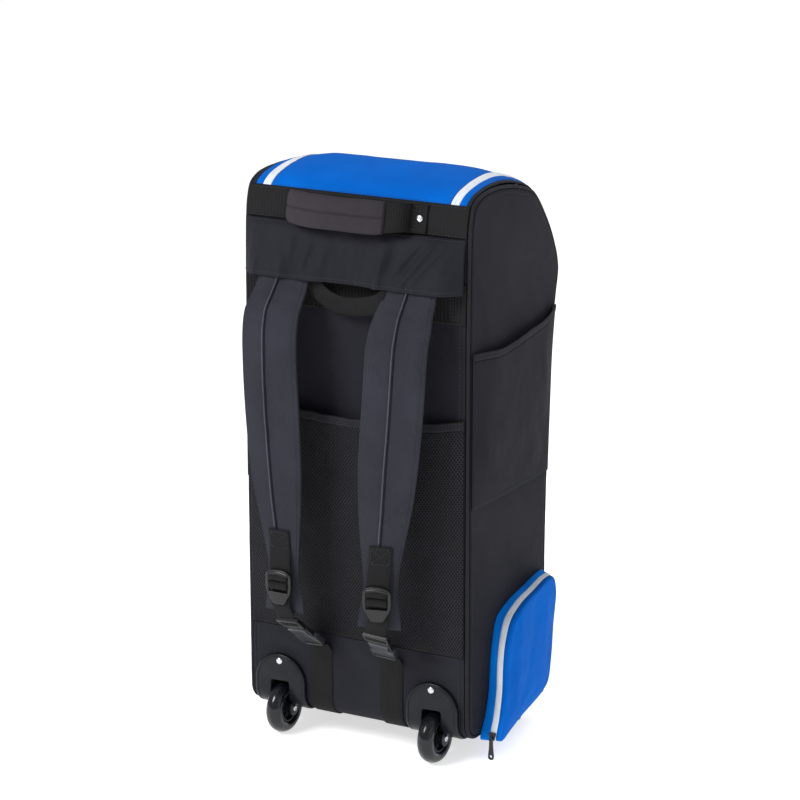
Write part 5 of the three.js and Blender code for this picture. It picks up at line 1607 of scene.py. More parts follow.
# %% Tab, ladder lock and adjuster webbing
LOCK_HEIGHT = 51
LOCK_THICK = 5
LOCK_TOP = 244
LOCK_STAND = 10
TAB_WIDTH = 33
TAB_TOP = 300
TAB_THICK = 2
LAY_GAP = 0.6
ADJUSTER_WIDTH = 30
ADJUSTER_THICK = 1.8
CLIP_LENGTH = 78
CLIP_TOP_HEIGHT = 168
CLIP_TOP_REACH = 74
CLIP_FOOT_HEIGHT = 118
CLIP_SPREAD = 0.7
ANCHOR_SPREAD = 58
ANCHOR_WIDTH = 38
ANCHOR_THICK = 1.8
ANCHOR_UNDER = 70
LOCK_OUTLINE = [
    (0, 25.5), (9, 24.9), (15.5, 22.9), (19.4, 19.2), (20.5, 13.5), (20.5, 5), (20.1, -3), (18.2, -9.5),
    (14.6, -15.5), (11.6, -20.8), (9.2, -24.2), (5.5, -25.5), (0, -25.5),
]
LOCK_WINDOW = (-15.6, -7.6, 15.6, 18.4)
LOCK_BARS = (14.2, 2.2)
# The adjuster's way through the lock, from the free end down: up and out in the lock's own frame.
ADJUSTER_WEAVE = [
    (24, -4.2), (20.5, -2.6), (18.2, 2.2), (14.2, 4.4), (10.4, 2.4), (8.1, -2.2), (6.0, 2.2), (2.2, 4.4),
    (-1.6, 2.4), (-4.6, -2.4), (-9, -4.6), (-18, -4.4), (-27, -4.0),
]
# Where the adjuster goes round the clip's own bar: up and out in the clip's frame.
ADJUSTER_END = [(36, -4.5), (27.5, 2.6), (18, -4.6)]
ADJUSTER_STEPS = 170
TAB_SEWN_HIGH = 296
TAB_SEWN_LOW = 274
TAB_SEWN_HALF = TAB_WIDTH / 2 - 3
chain = {}
for side, sign in SIDES:
    place = strap_at(side, sign, LOCK_TOP - LOCK_HEIGHT / 2)
    lock_up = place["out"].cross(place["across"]).normalized()
    lock_middle = place["middle"] + place["out"] * (place["thick"] / 2 + LOCK_STAND + LOCK_THICK / 2)
    clip_head = Vector((sign * STRAP_SPREAD * CLIP_SPREAD, -CLIP_TOP_REACH, CLIP_TOP_HEIGHT))
    clip_drop = CLIP_TOP_HEIGHT - CLIP_FOOT_HEIGHT
    clip_lean = math.sqrt(CLIP_LENGTH**2 - clip_drop**2 - (clip_head.x - sign * ANCHOR_SPREAD) ** 2)
    clip_foot = Vector((sign * ANCHOR_SPREAD, clip_head.y + clip_lean, CLIP_FOOT_HEIGHT))
    clip_up = (clip_head - clip_foot).normalized()
    clip_across = (RIGHT - clip_up * clip_up.x).normalized()
    chain[side] = {
        "lock": plate_frame(lock_middle, place["across"], lock_up), "across": place["across"], "up": lock_up,
        "out": place["out"], "head": clip_head, "foot": clip_foot, "clip_up": clip_up, "clip_across": clip_across,
        "clip": plate_frame((clip_head + clip_foot) / 2, clip_across, clip_up),
    }


def both_halves(half):
    """An outline from the rows of its right half."""
    return half + [(-x, y) for x, y in reversed(half)]


def ladder_lock(side, link):
    outline = LOCK_OUTLINE + [(-x, y) for x, y in reversed(LOCK_OUTLINE[1:-1])]
    parts = [moulded_plate(f"ladder_lock_frame_{side}", rounded(outline), [box_outline(*LOCK_WINDOW, 2)],
                           LOCK_THICK, 1.2, link["lock"], BUCKLE_PLASTIC)]
    for height in LOCK_BARS:
        bar = [link["lock"] @ Vector((x, height, 0)) for x in steps(-17, 17, 2)]
        parts.append(swept(f"lock_bar_{side}", bar, link["up"], oval(2.5, 1.7), BUCKLE_PLASTIC))
    roll = [link["lock"] @ Vector((x, 20.6 - 0.012 * x * x, 1.2)) for x in steps(-15.5, 15.5, 1.5)]
    parts.append(swept(f"lock_roll_{side}", roll, link["up"], oval(3.2, 2.6), BUCKLE_PLASTIC))
    return joined(f"ladder_lock_body_{side}", parts)


def strap_stand(side, sign, height, stand):
    """A place that stands off the middle of the strap's face."""
    place = strap_at(side, sign, height)
    return place["middle"] + place["out"] * (place["thick"] / 2 + stand)


def tab_section(index):
    lip = 1.0 if index > 1 else 0.75
    return webbing_section(TAB_WIDTH, TAB_THICK * lip + (0.9 if 2 < index < 6 else 0))


def adjuster_section(index):
    return webbing_section(ADJUSTER_WIDTH, ADJUSTER_THICK * (1 + 0.14 * math.cos(2 * math.pi * index / 3.2)))


def tab_rows(side, sign, link):
    """Stitches in a box with a cross in it."""
    half = TAB_SEWN_HALF
    a, b, c, d = (-half, TAB_SEWN_HIGH), (half, TAB_SEWN_HIGH), (half, TAB_SEWN_LOW), (-half, TAB_SEWN_LOW)
    rows = []
    for (from_x, from_z), (to_x, to_z) in ((a, b), (b, c), (c, d), (d, a), (a, c), (d, b)):
        row = []
        for share in steps(0, 1, 0.25):
            height = from_z + (to_z - from_z) * share
            stand = LAY_GAP + TAB_THICK + 0.45 + 1.2 * (TAB_TOP - height) / (TAB_TOP - LOCK_TOP)
            aside = link["across"] * (from_x + (to_x - from_x) * share)
            row.append((strap_stand(side, sign, height, stand) + aside, link["out"]))
        rows.append(row)
    return rows


for side, sign in SIDES:
    link = chain[side]
    wear(ladder_lock(side, link), "buckle_plastic", f"ladder_lock_{side}")
    # Columns: height, how far the middle of the tab stands off the strap
    laid = ((TAB_TOP, LAY_GAP + TAB_THICK / 2 + 0.4), (TAB_TOP - 12, LAY_GAP + TAB_THICK / 2 + 0.3),
            ((TAB_TOP + LOCK_TOP) / 2, LAY_GAP + TAB_THICK))
    tab_knots = [strap_stand(side, sign, height, stand) for height, stand in laid]
    for up in (LOCK_HEIGHT / 2 + 4, 15.5):
        tab_knots.append(link["lock"] @ Vector((0, up, -LOCK_THICK / 2 - 1.6)))
    tab = swept(f"strap_tab_webbing_{side}", spaced_path(tab_knots, 60), link["across"], tab_section, WEBBING)
    wear(tab, "webbing", f"strap_tab_{side}")
    sew(f"strap_tab_stitches_{side}", tab_rows(side, sign, link), thick=0.4)

    weave = [link["lock"] @ Vector((0, up, out)) for up, out in ADJUSTER_WEAVE]
    head_edge = link["head"] + link["clip_up"] * (LAY_GAP + ADJUSTER_THICK / 2)
    weave.append(head_edge.lerp(weave[-1], 0.45) - link["out"])
    weave.append(head_edge - link["out"] * 3.5)
    weave.extend(link["clip"] @ Vector((0, up, out)) for up, out in ADJUSTER_END)

    def adjuster_across(index):
        share = min(1, max(0, (index / ADJUSTER_STEPS - 0.55) / 0.25))
        return link["across"].lerp(link["clip_across"], share).normalized()

    adjuster_path = spaced_path(weave, ADJUSTER_STEPS)
    adjuster = swept(f"adjuster_webbing_run_{side}", adjuster_path, adjuster_across, adjuster_section, WEBBING)
    wear(adjuster, "webbing", f"adjuster_webbing_{side}")

# %% [markdown]
# The side-release clip has two halves. The upper one is a frame with a slot for the webbing, and
# two springy prongs that reach into the lower one. The lower half is a tapered box, waisted where
# fingers squeeze the prongs, which show through a window on each side.

# %% Side-release clips and anchor webbing
CLIP_HEAD_HALF = [(14, 11.5), (17.2, 14), (19, 20), (19, 37.2), (17.4, 39)]
CLIP_HEAD_SLOT = (-15.4, 22.6, 15.4, 33.6)
CLIP_BODY_HALF = [
    (13.2, 15), (15.5, 12), (14.6, 4), (13.6, -3), (14.2, -7.5), (17.6, -11), (18.8, -15), (19, -24),
    (18.8, -33), (17, -37.6), (12, -39),
]
CLIP_BODY_SLOT = (-15.4, -35, 15.4, -28.5)
CLIP_PRONG = [(13.5, 12), (16.6, 9.4), (17.8, 2), (17.9, -5), (16.4, -10), (13.2, -11.6), (12.4, -6), (12.8, 2)]
# The anchor webbing's way through the clip: up and out in the clip's frame.
ANCHOR_WEAVE = [(-27, -5), (-29, -2.4), (-32, 2.6), (-36.2, 3.4)]
ANCHOR_LIE = SEAM_GAP + ANCHOR_THICK / 2
ANCHOR_HEEL = TUCK + ANCHOR_LIE


def side_clip(side, place):
    # Columns: name, outline, holes, thickness, bevel, finish
    shapes = [
        ("head", both_halves(CLIP_HEAD_HALF), [box_outline(*CLIP_HEAD_SLOT, 1.5)], 7.5, 1.6, BUCKLE_PLASTIC),
        # The lower half takes the lighter nylon, painted light for its lit wedge face.
        ("body", both_halves(CLIP_BODY_HALF), [box_outline(*CLIP_BODY_SLOT, 1.5)], 11.5, 2.4, LIT_CLIP_PLASTIC),
    ]
    for hand in (-1, 1):
        shapes.append(("prong", rounded([(hand * x, y) for x, y in CLIP_PRONG], 36), [], 6.4, 1.2, BUCKLE_PLASTIC))
    parts = []
    for name, outline, holes, thick, bevel, finish in shapes:
        parts.append(moulded_plate(f"clip_{name}_{side}", outline, holes, thick, bevel, place, finish))
    return joined(f"side_clip_body_{side}", parts)


for side, sign in SIDES:
    link = chain[side]
    wear(side_clip(side, link["clip"]), "buckle_plastic", f"side_clip_{side}")
    foot = link["foot"] - link["clip_up"] * (LAY_GAP + ANCHOR_THICK / 2)
    fall = -foot.y - ANCHOR_LIE
    path = [link["clip"] @ Vector((0, up, out)) for up, out in ANCHOR_WEAVE] + [foot]
    # Columns: y and z of the webbing on its way down the panel and under the base
    down = [(-ANCHOR_LIE - fall / 2, foot.z - fall / 2), (-ANCHOR_LIE, foot.z - fall * 1.2)]
    down += [(-ANCHOR_LIE, foot.z * 0.6), (-ANCHOR_LIE, foot.z * 0.3)]
    for turn in (0, 0.4, 0.8, 1.2, math.pi / 2):
        down.append((TUCK - ANCHOR_HEEL * math.cos(turn), TUCK - ANCHOR_HEEL * math.sin(turn)))
    down += [(ANCHOR_UNDER / 2, -ANCHOR_LIE), (ANCHOR_UNDER, -ANCHOR_LIE)]
    path += [Vector((sign * ANCHOR_SPREAD, y, z)) for y, z in down]

    def anchor_across(index):
        return link["clip_across"].lerp(RIGHT, min(1, index / 25)).normalized()

    anchor_section = webbing_section(ANCHOR_WIDTH - 1.5, ANCHOR_THICK)
    anchor = swept(f"anchor_webbing_run_{side}", spaced_path(path, 130), anchor_across, anchor_section, WEBBING)
    wear(anchor, "webbing", f"anchor_webbing_{side}")

# %% [markdown]
# On both sides a slip pocket lies over the side panel: one sheet of body cloth, sewn down at its
# foot and its two ends, and open under a bound hem that climbs towards the front. Use has drawn
# the hem into a soft wave. Sheet and binding count as one hung cloth.

# %% Slip pockets
SLIP_FLOOR = 345
SLIP_HEM_HEIGHT = 559
SLIP_HEM_LIFT = 28
SLIP_REACH = 9
SLIP_BINDING = 10
SLIP_HEM = [(0, 0.36), (0.22, 0.26), (0.45, 0.36), (0.7, 0.6), (0.88, 0.82), (1, 1.04)]
slip_keys = [row[0] for row in SLIP_HEM]
slip_rises = [(row[1],) for row in SLIP_HEM]
SLIP_CREASES = [
    (52, 470, 150, 400, 20, 1.6), (170, 470, 225, 380, 16, -1.6), (60, 372, 130, 352, 6, 1.3),
    (150, 362, 226, 352, 6, 1.1), (196, 540, 214, 470, 12, 1.8), (24, 500, 40, 400, 10, 1.2),
]


def slip_top(across):
    ripple = 1.2 * math.sin(math.pi * 4.2 * across + 0.6) * calm(2 * across - 1)
    return SLIP_HEM_HEIGHT + SLIP_HEM_LIFT * read_smoothly(slip_keys, slip_rises, across)[0] + ripple


def slip_point(sign, across, height, out):
    back, front = back_at(height) + SIDE_SEAM_INSET, front_at(height) - SIDE_SEAM_INSET
    y = back + (front - back) * across
    return Vector((sign * (HALF_BODY + side_puff(y, height) + LAY_GAP + out), y, height))


def slip_pocket(side, sign):
    width = front_at(450) - back_at(450) - 2 * SIDE_SEAM_INSET
    drop = SLIP_HEM_HEIGHT - SLIP_BINDING - SLIP_FLOOR

    def slip_soft(a, fold_height, crease_height):
        lines = creases(a + SIDE_SEAM_INSET, crease_height, SLIP_CREASES)
        return folds(a, fold_height, 40 + sign, 70, 2.2, 1.5) + lines

    def cloth_place(a, b):
        across, up = a / width, b / drop
        height = SLIP_FLOOR + (slip_top(across) - SLIP_BINDING - SLIP_FLOOR) * up
        reach = SLIP_REACH * math.sin(math.pi / 2 * up) * (1 - abs(2 * across - 1) ** 4)
        held = calm(2 * across - 1) * min(1, up * 7)
        return slip_point(sign, across, height, CLOTH_WALL + reach + slip_soft(a, height, height) * held + 0.4)

    def hem_place(a, b):
        across = a / width
        seam = slip_top(across) - SLIP_BINDING
        height = seam - 0.6 + b
        roll = 1.2 * math.sqrt(max(0, 1 - (2 * b / SLIP_BINDING - 1) ** 4))
        soft = slip_soft(a, seam, height) + 0.5 * noise.noise(Vector((a / 11, b / 30, 6.1 + sign)))
        reach = SLIP_REACH * (1 - abs(2 * across - 1) ** 4)
        return slip_point(sign, across, height, CLOTH_WALL + reach + soft * calm(2 * across - 1) + roll)

    def slip_grid(name, top, size, rise, place, finish, wall):
        return cloth_grid(name, steps(0, width, size), steps(0, top, rise), place, finish, wall, flip=sign < 0)

    sheet = slip_grid(f"slip_pocket_cloth_{side}", drop, 3.5, 3.5, cloth_place, BODY_CLOTH, 1.4)
    binding = slip_grid(f"slip_hem_binding_{side}", SLIP_BINDING, 3, 1, hem_place, BINDING, 2.4)
    sewn_lines = ((hem_place, 2), (hem_place, SLIP_BINDING - 2), (cloth_place, 4))
    sewn = [[(place(a, b), RIGHT * sign) for a in steps(4, width - 4, 4)] for place, b in sewn_lines]
    sew(f"slip_pocket_stitches_{side}", sewn)
    wear(sheet, "black_cloth", f"slip_pocket_{side}")
    wear(binding, "webbing", f"slip_hem_{side}")


for side, sign in SIDES:
    slip_pocket(side, sign)

# %% [markdown]
# The shoe pocket is a shallow blue box on the right side. A gusset rises from an outline on the
# side panel, a white zip runs round its rim, and a slightly domed face closes it. Both outlines
# are the same eighteen places in two columns, as shares of the pocket's depth and height, joined
# by one smooth closed curve. The face is a pillow: the seam holds its rim and the cloth between
# swells, with long soft folds that run down towards the lower corner.

# %% Shoe pocket
BOOT_BACK = 38
BOOT_FLOOR = -4
BOOT_DEPTH = 205
BOOT_HEIGHT = 202
BOOT_REACH = 35
BOOT_DOME = 4
BOOT_ZIP_START = 16
BOOT_ZIP_WIDTH = 10
BOOT_TABLE = [
    (0, 0, 0, 0.015), (0.06, 0.167, 0.04, 0.167), (0.1, 0.343, 0.078, 0.333), (0.112, 0.566, 0.098, 0.576),
    (0.141, 0.707, 0.132, 0.717), (0.2, 0.843, 0.205, 0.838), (0.366, 0.919, 0.351, 0.919), (0.595, 0.96, 0.546, 0.965),
    (0.795, 0.995, 0.702, 1), (0.92, 0.985, 0.79, 0.99), (0.965, 0.9, 0.829, 0.889), (0.96, 0.63, 0.79, 0.65),
    (0.96, 0.32, 0.76, 0.4), (0.96, 0.12, 0.712, 0.232), (0.9, 0.03, 0.62, 0.182), (0.7, 0, 0.473, 0.141),
    (0.4, 0, 0.302, 0.1), (0.18, 0, 0.137, 0.05),
]
BOOT_AROUND = 200


def boot_ring(column):
    rows = []
    for row in BOOT_TABLE:
        rows.append(Vector((0, BOOT_BACK + BOOT_DEPTH * row[column], BOOT_FLOOR + BOOT_HEIGHT * row[column + 1])))
    return [on_spline(rows, index / BOOT_AROUND, True) for index in range(BOOT_AROUND)]


boot_foot = boot_ring(0)
boot_rim = boot_ring(2)
boot_middle = Vector((0, BOOT_BACK + BOOT_DEPTH * 0.45, BOOT_FLOOR + BOOT_HEIGHT * 0.55))


def boot_wall(index, reach, proud=0.0):
    """A place on the pocket's wall at a reach from the side panel, pushed out of the wall by proud."""
    point = boot_foot[index].lerp(boot_rim[index], reach / BOOT_REACH)
    outward = (point - boot_middle).normalized()
    point = point + outward * proud
    lift = side_puff(point.y, max(point.z, 0)) * max(0, 1 - reach / 6) + max(reach, LAY_GAP)
    return Vector((HALF_BODY + lift, point.y, point.z))


around_boot = list(range(BOOT_AROUND + 1))
boot_reaches = steps(0, BOOT_ZIP_START, 1.3)


def boot_gusset(index, reach):
    share = reach / BOOT_ZIP_START
    spot = boot_foot[index % BOOT_AROUND]
    soft = folds(spot.y, spot.z, 21.0, 24, 0.9) * math.sin(math.pi * share)
    return boot_wall(index % BOOT_AROUND, reach, soft + 0.7 * math.sin(math.pi * share))


def round_the_boot(name, reaches, place, finish, wall):
    """A band round the pocket. The map takes its length from the rim."""
    piece = cloth_grid(name, around_boot, reaches, place, finish, wall, wrap=True, flip=True)
    step = lengths(boot_rim + boot_rim[:1])[-1] / BOOT_AROUND
    for corner in piece.data.uv_layers["cut"].data:
        corner.uv = (corner.uv[1], corner.uv[0] * step)
    return piece


def boot_tape(index, reach):
    share = 2 * (reach - BOOT_ZIP_START) / BOOT_ZIP_WIDTH - 1
    return boot_wall(index % BOOT_AROUND, reach, zip_relief(share, 0.2, 0.16, 0.06, 1.0, 0.88, 0.45, 0.8))


BOOT_ZIP_END = BOOT_ZIP_START + BOOT_ZIP_WIDTH
# The gusset is the lighter copy of the blue cloth, painted light.
boot_band = round_the_boot("boot_gusset_cloth", boot_reaches, boot_gusset, LIT_GUSSET_CLOTH, 1.5)
wear(boot_band, "blue_cloth", "boot_gusset")
tape_reaches = slit_columns(BOOT_ZIP_START - 0.2, BOOT_ZIP_END + 0.2, 0.6)
wear(round_the_boot("boot_zip_tape", tape_reaches, boot_tape, ZIP_TAPE, 1.2), "zip_tape", "boot_zip")

BOOT_FOLDS = [
    (96, 170, 78, 40, 9, 1.8), (140, 175, 112, 60, 12, -1.8), (128, 60, 90, 26, 8, 1.6),
    (170, 160, 168, 90, 10, 1.4), (70, 150, 60, 70, 7, -1.2),
]
# Columns: reach, share of the rim's size, how far proud of the wall
FACE_RINGS = [
    (BOOT_ZIP_END, 1, 0), (BOOT_ZIP_END + 3, 1, 0.3), (BOOT_REACH - 3, 1, 0.4), (BOOT_REACH - 1, 0.998, 0),
    (BOOT_REACH, 0.985, 0), *((BOOT_REACH, share, 0) for share in steps(0.965, 0.02, 0.035)),
]


def boot_folds(y, z):
    return folds(y, z, 25.0, 42, 1.6)


points = []
for reach, share, proud in FACE_RINGS:
    for index in range(BOOT_AROUND):
        spot = boot_middle.lerp(boot_wall(index, reach, proud), share)
        soft = (creases(spot.y, spot.z, BOOT_FOLDS) + boot_folds(spot.y, spot.z)) * min(1, (1 - share) * 7)
        points.append(Vector((HALF_BODY + reach + BOOT_DOME * (1 - share**2.2) + soft, spot.y, spot.z)))
middle_reach = HALF_BODY + BOOT_REACH + BOOT_DOME + boot_folds(boot_middle.y, boot_middle.z)
points.append(Vector((middle_reach, boot_middle.y, boot_middle.z)))
faces = [face[::-1] for face in quads(len(FACE_RINGS), BOOT_AROUND, wrap=True)]
last_ring = (len(FACE_RINGS) - 1) * BOOT_AROUND
for index in range(BOOT_AROUND):
    faces.append([last_ring + index, len(points) - 1, last_ring + (index + 1) % BOOT_AROUND])
corners = [(points[index].y, points[index].z) for face in faces for index in face]
boot_face = make_piece("boot_face_cloth", points, faces, corners, BLUE_CLOTH)
if boot_face.data.polygons[-1].normal.x < 0:
    boot_face.data.flip_normals()
wear(thicken(boot_face, 1.5), "blue_cloth", "boot_face")

# %% Stitches on the shoe pocket
def boot_row(reach, proud):
    """A closed row round the pocket's wall."""
    row = []
    for index in around_boot:
        spot = boot_wall(index % BOOT_AROUND, reach, proud)
        row.append((spot, Vector((0, spot.y - boot_middle.y, spot.z - boot_middle.z)).normalized()))
    return row


sew("boot_stitches", [boot_row(BOOT_ZIP_START - 2.4, 0.45), boot_row(2.4, 0.5)], BLUE_THREAD, "blue_cloth")
boot_zip_rows = [boot_row(reach, ZIP_LIFT) for reach in (BOOT_ZIP_START + 1.9, BOOT_ZIP_END - 1.9)]
sew("boot_zip_stitches", boot_zip_rows, WHITE_THREAD, "zip_tape", ZIP_THREAD_THICK)

# %% [markdown]
# The zip of the shoe pocket ends at its rear lower corner, where its slider rests and its puller
# hangs: a flat teardrop with a round hole near its lower end, on a small loop.

# %% Zip slider and puller
PULLER_LENGTH = 34
PULLER_WIDTH = 9
PULLER_THICK = 3.2
SLIDER_LENGTH = 12
slider_foot = boot_wall(0, BOOT_ZIP_START + BOOT_ZIP_WIDTH / 2)
slider_out = slider_foot.y - ZIP_LIFT - SEAM_GAP
slider_z = slider_foot.z + SLIDER_LENGTH / 2 + LAY_GAP


def facing_back(x, y, z):
    """A plate that faces the viewer behind the bag, with its middle at a place."""
    return plate_frame(Vector((x, y, z)), RIGHT, UP)


slider_half = BOOT_ZIP_WIDTH / 2
slider_side = [(slider_half, 5.2), (slider_half, 1), (slider_half * 0.7, -3), (slider_half * 0.6, -6)]
slider_outline = rounded([(0, 6)] + both_halves(slider_side), 48)
slider_plates = []
for name, thick, bevel, stand in (("top", 1.4, 0.5, 2.3), ("under", 1.2, 0.4, 0.6)):
    place = facing_back(slider_foot.x, slider_out - stand, slider_z)
    slider_plates.append(moulded_plate(f"slider_{name}", slider_outline, [], thick, bevel, place, BUCKLE_PLASTIC))
bridge = []
for share in steps(0, 1, 1 / 12):
    y = slider_out - 2.6 - 1.5 * math.sin(math.pi * share)
    bridge.append(Vector((slider_foot.x, y, slider_z + 4 - 8 * share)))
slider_plates.append(swept("slider_bridge", bridge, RIGHT, oval(1.1, 0.7), BUCKLE_PLASTIC))
wear(joined("zip_slider_body", slider_plates), "buckle_plastic", "zip_slider")

puller_side = [(2.6, 16), (2.9, 10), (3.2, 2), (4.1, -6), (PULLER_WIDTH / 2, -11), (3.8, -15.4)]
puller_outline = rounded([(0, 17)] + puller_side + [(0, -17)] + [(-x, y) for x, y in reversed(puller_side)])
puller_holes = [circle(1.9, 24, (0, -11.6)), box_outline(-1.1, 11.4, 1.1, 14.4, 0.9)]
puller_z = slider_foot.z + SLIDER_LENGTH / 2 - PULLER_LENGTH / 2
puller_turn = facing_back(slider_foot.x, slider_out - SEAM_GAP - PULLER_THICK * 1.45, puller_z)
puller = moulded_plate("zip_puller_tab", puller_outline, puller_holes, PULLER_THICK, 1.2, puller_turn, BUCKLE_PLASTIC)
wear(puller, "buckle_plastic", "zip_puller")

# %% [markdown]
# The wheel housings are moulded in one: an arched plate with a slot, a thin raised rim line, a
# closed well that keeps the wheel out of the cloth, and two ears that carry the axle. The well
# is a strip of plastic bent over the wheel between two flat cheeks.

# %% Wheel housings
HOUSING_WIDTH = 83
HOUSING_HEIGHT = 85
HOUSING_STAND = 8
HOUSING_RIVET_HEIGHT = 75
SLOT_TOP = 44
SLOT_CORNER = [(SLOT_HALF - 2.5, SLOT_TOP), (SLOT_HALF - 0.8, SLOT_TOP - 0.8), (SLOT_HALF, SLOT_TOP - 2.5)]
EAR_RADIUS = 11
BORE_RADIUS = 3.4
AXLE_PLACE = (AXLE_SETBACK, AXLE_HEIGHT)


def arch_outline(inset, foot):
    """Up the right side, over the arch and down the left side."""
    radius = HOUSING_WIDTH / 2 - inset
    centre = HOUSING_HEIGHT - HOUSING_WIDTH / 2
    rise = steps(foot, centre - 2, 3)
    bend = circle(radius, 80, (0, centre))[:41]
    return [(radius, z) for z in rise] + bend + [(-radius, z) for z in reversed(rise)]


def tucked(piece):
    """Cuts a plate into level strips near the base and bends it in with the cloth."""
    work = bmesh.new()
    work.from_mesh(piece.data)
    for height in steps(1.5, TUCK, 2):
        level_cut = bag_origin + Vector((0, 0, height)) / 1000
        everything = list(work.verts) + list(work.edges) + list(work.faces)
        bmesh.ops.bisect_plane(work, geom=everything, plane_co=level_cut, plane_no=(0, 0, 1))
    for vertex in work.verts:
        vertex.co.y += tuck((vertex.co.z - bag_origin.z) * 1000) / 1000
    work.to_mesh(piece.data)
    work.free()
    piece.data.set_sharp_from_angle(angle=math.radians(40))
    return piece


def sideways(x, y, z):
    """A plate that faces along x: its own x runs along y and its own y runs up."""
    return plate_frame(Vector((x, y, z)), FORWARD, UP)


slot_side = SLOT_CORNER + [(SLOT_HALF, 0)]
housing_shape = arch_outline(0, 0) + [(-x, z) for x, z in reversed(slot_side)] + slot_side
well_shape = [(-SEAM_GAP, 0), (AXLE_SETBACK + WELL_RADIUS, 0), *circle(WELL_RADIUS, 64, AXLE_PLACE)[:17]]
well_shape.append((-SEAM_GAP, AXLE_HEIGHT + WELL_RADIUS))
# Columns: name, outline, holes, thickness, bevel
CHEEK_PLATES = [
    ("cheek", well_shape, [], SHELL_WALL, 0.4),
    ("ear", circle(EAR_RADIUS, 40, AXLE_PLACE), [circle(BORE_RADIUS, 24, AXLE_PLACE)], 2.9, 0.5),
]
roof_section = webbing_section(2 * SLOT_HALF + 4, 2.4)
for side, sign in SIDES:
    station = sign * WHEEL_SPREAD
    turn = facing_back(station, -SEAM_GAP - HOUSING_STAND / 2, 0)
    plate = moulded_plate(f"housing_plate_{side}", housing_shape, [], HOUSING_STAND, 2.2, turn, HOUSING_PLASTIC)
    rim = [Vector((station + x, -SEAM_GAP - HOUSING_STAND + tuck(z), z)) for x, z in arch_outline(4.2, 1.5)]
    parts = [tucked(plate), swept(f"housing_rim_{side}", rim, FORWARD, oval(0.75, 0.75), HOUSING_PLASTIC)]
    for hand in (-1, 1):
        turn = sideways(station + hand * (SLOT_HALF + SHELL_WALL / 2), 0, 0)
        for name, outline, holes, thick, bevel in CHEEK_PLATES:
            name = f"housing_{name}_{side}"
            parts.append(moulded_plate(name, outline, holes, thick, bevel, turn, HOUSING_PLASTIC))
    roof = [Vector((station, y, z)) for y, z in well_shape[1:]]
    parts.append(swept(f"housing_roof_{side}", roof, RIGHT, roof_section, HOUSING_PLASTIC))
    wear(joined(f"wheel_housing_shell_{side}", parts), "housing_plastic", f"wheel_housing_{side}")
    seat = Vector((station, -HOUSING_STAND - SEAM_GAP - 0.1, HOUSING_RIVET_HEIGHT))
    head = turned(f"housing_rivet_head_{side}", RIVET_PROFILE, seat, Vector((0, -1, 0)), STEEL)
    wear(head, "steel", f"housing_rivet_{side}")

# %% [markdown]
# Each wheel is like one of an inline skate: a cast urethane tyre with a round tread on a moulded
# hub with a barrel, a web with six raised ribs and a rim. The tyre and hub are turned from profiles.
# The tread has a faint mould line round its middle and a moulded step near the hub.

# %% Wheels and axles
# Half profiles, as radius and place along the axle. Both run from the left to the middle.
TYRE_HALF = [
    (21.8, -8.6), (22.4, -9.6), (24, -10.6), (25.6, -11.6), (27.0, -12.1), (29.4, -12.3), (31.6, -11.8),
    (33.6, -10.5), (35.3, -8.6), (36.6, -6.2), (37.5, -3.4), (37.9, -1.2), (37.98, -0.5), (38.0, -0.25),
]
HUB_HALF = [
    (3.4, -13.2), (3.8, -13.5), (7.6, -13.5), (8.3, -13.0), (8.5, -12.2), (8.6, -4.6), (9.4, -3.6),
    (17.4, -3.4), (18.3, -4.2), (18.6, -8.2), (19.2, -9), (20.9, -9), (21.4, -8.5),
]
AXLE_SEAT = SLOT_HALF + SHELL_WALL + 0.3
AXLE_HEAD = [(0, 0.9), (1.6, 0.9), (1.9, 1.4), (3.3, 1.5), (3.9, 1.0), (4, 0), (3, 0)]
AXLE_END = [(radius, -AXLE_SEAT - along) for radius, along in AXLE_HEAD]


def mirrored(half):
    return [(radius, -along) for radius, along in reversed(half)]


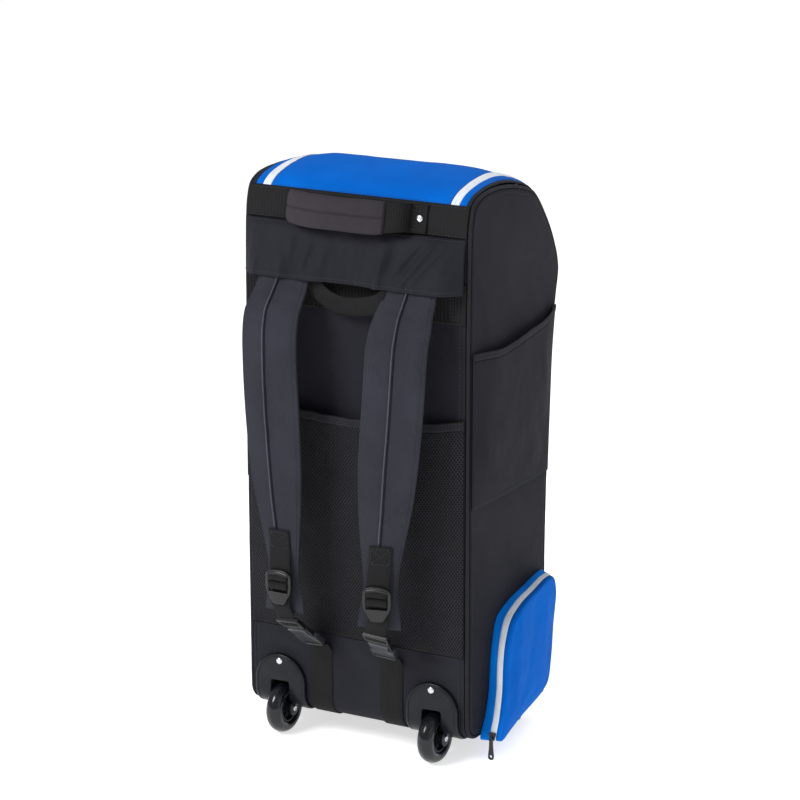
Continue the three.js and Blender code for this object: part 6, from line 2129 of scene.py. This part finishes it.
TYRE_PROFILE = TYRE_HALF + mirrored(TYRE_HALF) + TYRE_HALF[:1]
HUB_PROFILE = HUB_HALF + [(21.5, 0)] + mirrored(HUB_HALF) + HUB_HALF[:1]
AXLE_PROFILE = AXLE_END + mirrored(AXLE_END)
for side, sign in SIDES:
    body = f"wheel_{side}"
    seat = Vector((sign * WHEEL_SPREAD, AXLE_SETBACK, AXLE_HEIGHT))
    tyre = turned(f"tyre_{side}", TYRE_PROFILE, seat, RIGHT, WHEEL_URETHANE, 96)
    wear(tyre, "wheel_rubber", f"wheel_tyre_{side}", body=body)
    spokes = [turned(f"hub_core_{side}", HUB_PROFILE, seat, RIGHT, HOUSING_PLASTIC, 72)]
    for a, b in circle(1, 6):
        path = [seat + Vector((0, a, b)) * radius for radius in steps(8.2, 18.8, 1.3)]
        spokes.append(swept(f"hub_spoke_{side}", path, Vector((0, -b, a)), oval(1.5, 7.4), HOUSING_PLASTIC))
    wear(joined(f"hub_{side}", spokes), "housing_plastic", f"wheel_hub_{side}", body=body)
    wear(turned(f"axle_pin_{side}", AXLE_PROFILE, seat, RIGHT, STEEL, 40), "steel", f"axle_{side}")

# %% [markdown]
# Two moulded feet under the front edge keep the base level with the wheels. Each is a block with
# rounded corners and three shallow grooves, and its flat sole stands on the floor.

# %% Front feet
FOOT_SPREAD = 128
FOOT_SETBACK = 205
FOOT_LENGTH = 56
FOOT_WIDTH = 34
FOOT_CORNER = 12
FLOOR_HEIGHT = AXLE_HEIGHT - WHEEL_RADIUS
# Columns: inset, thickness. Three thin grooves part four thick layers.
FOOT_LAYERS = [
    (0, 4.2), (1.1, 1.4), (0, 8.5), (1.1, 1.4), (0, 8.5), (1.1, 1.4), (0, -FLOOR_HEIGHT - SEAM_GAP - 25.4),
]
for side, sign in SIDES:
    layers = []
    height = FLOOR_HEIGHT
    for inset, thick in FOOT_LAYERS:
        half_length, half_width = FOOT_LENGTH / 2 - inset, FOOT_WIDTH / 2 - inset
        outline = box_outline(-half_length, -half_width, half_length, half_width, FOOT_CORNER - inset, 10)
        middle = Vector((sign * FOOT_SPREAD, FOOT_SETBACK, height + thick / 2))
        turn, bevel = plate_frame(middle, RIGHT, FORWARD), min(0.9, thick / 2.5)
        layers.append(moulded_plate(f"foot_layer_{side}", outline, [], thick, bevel, turn, BUCKLE_PLASTIC))
        height += thick
    wear(joined(f"front_foot_{side}", layers), "buckle_plastic", f"foot_{side}")
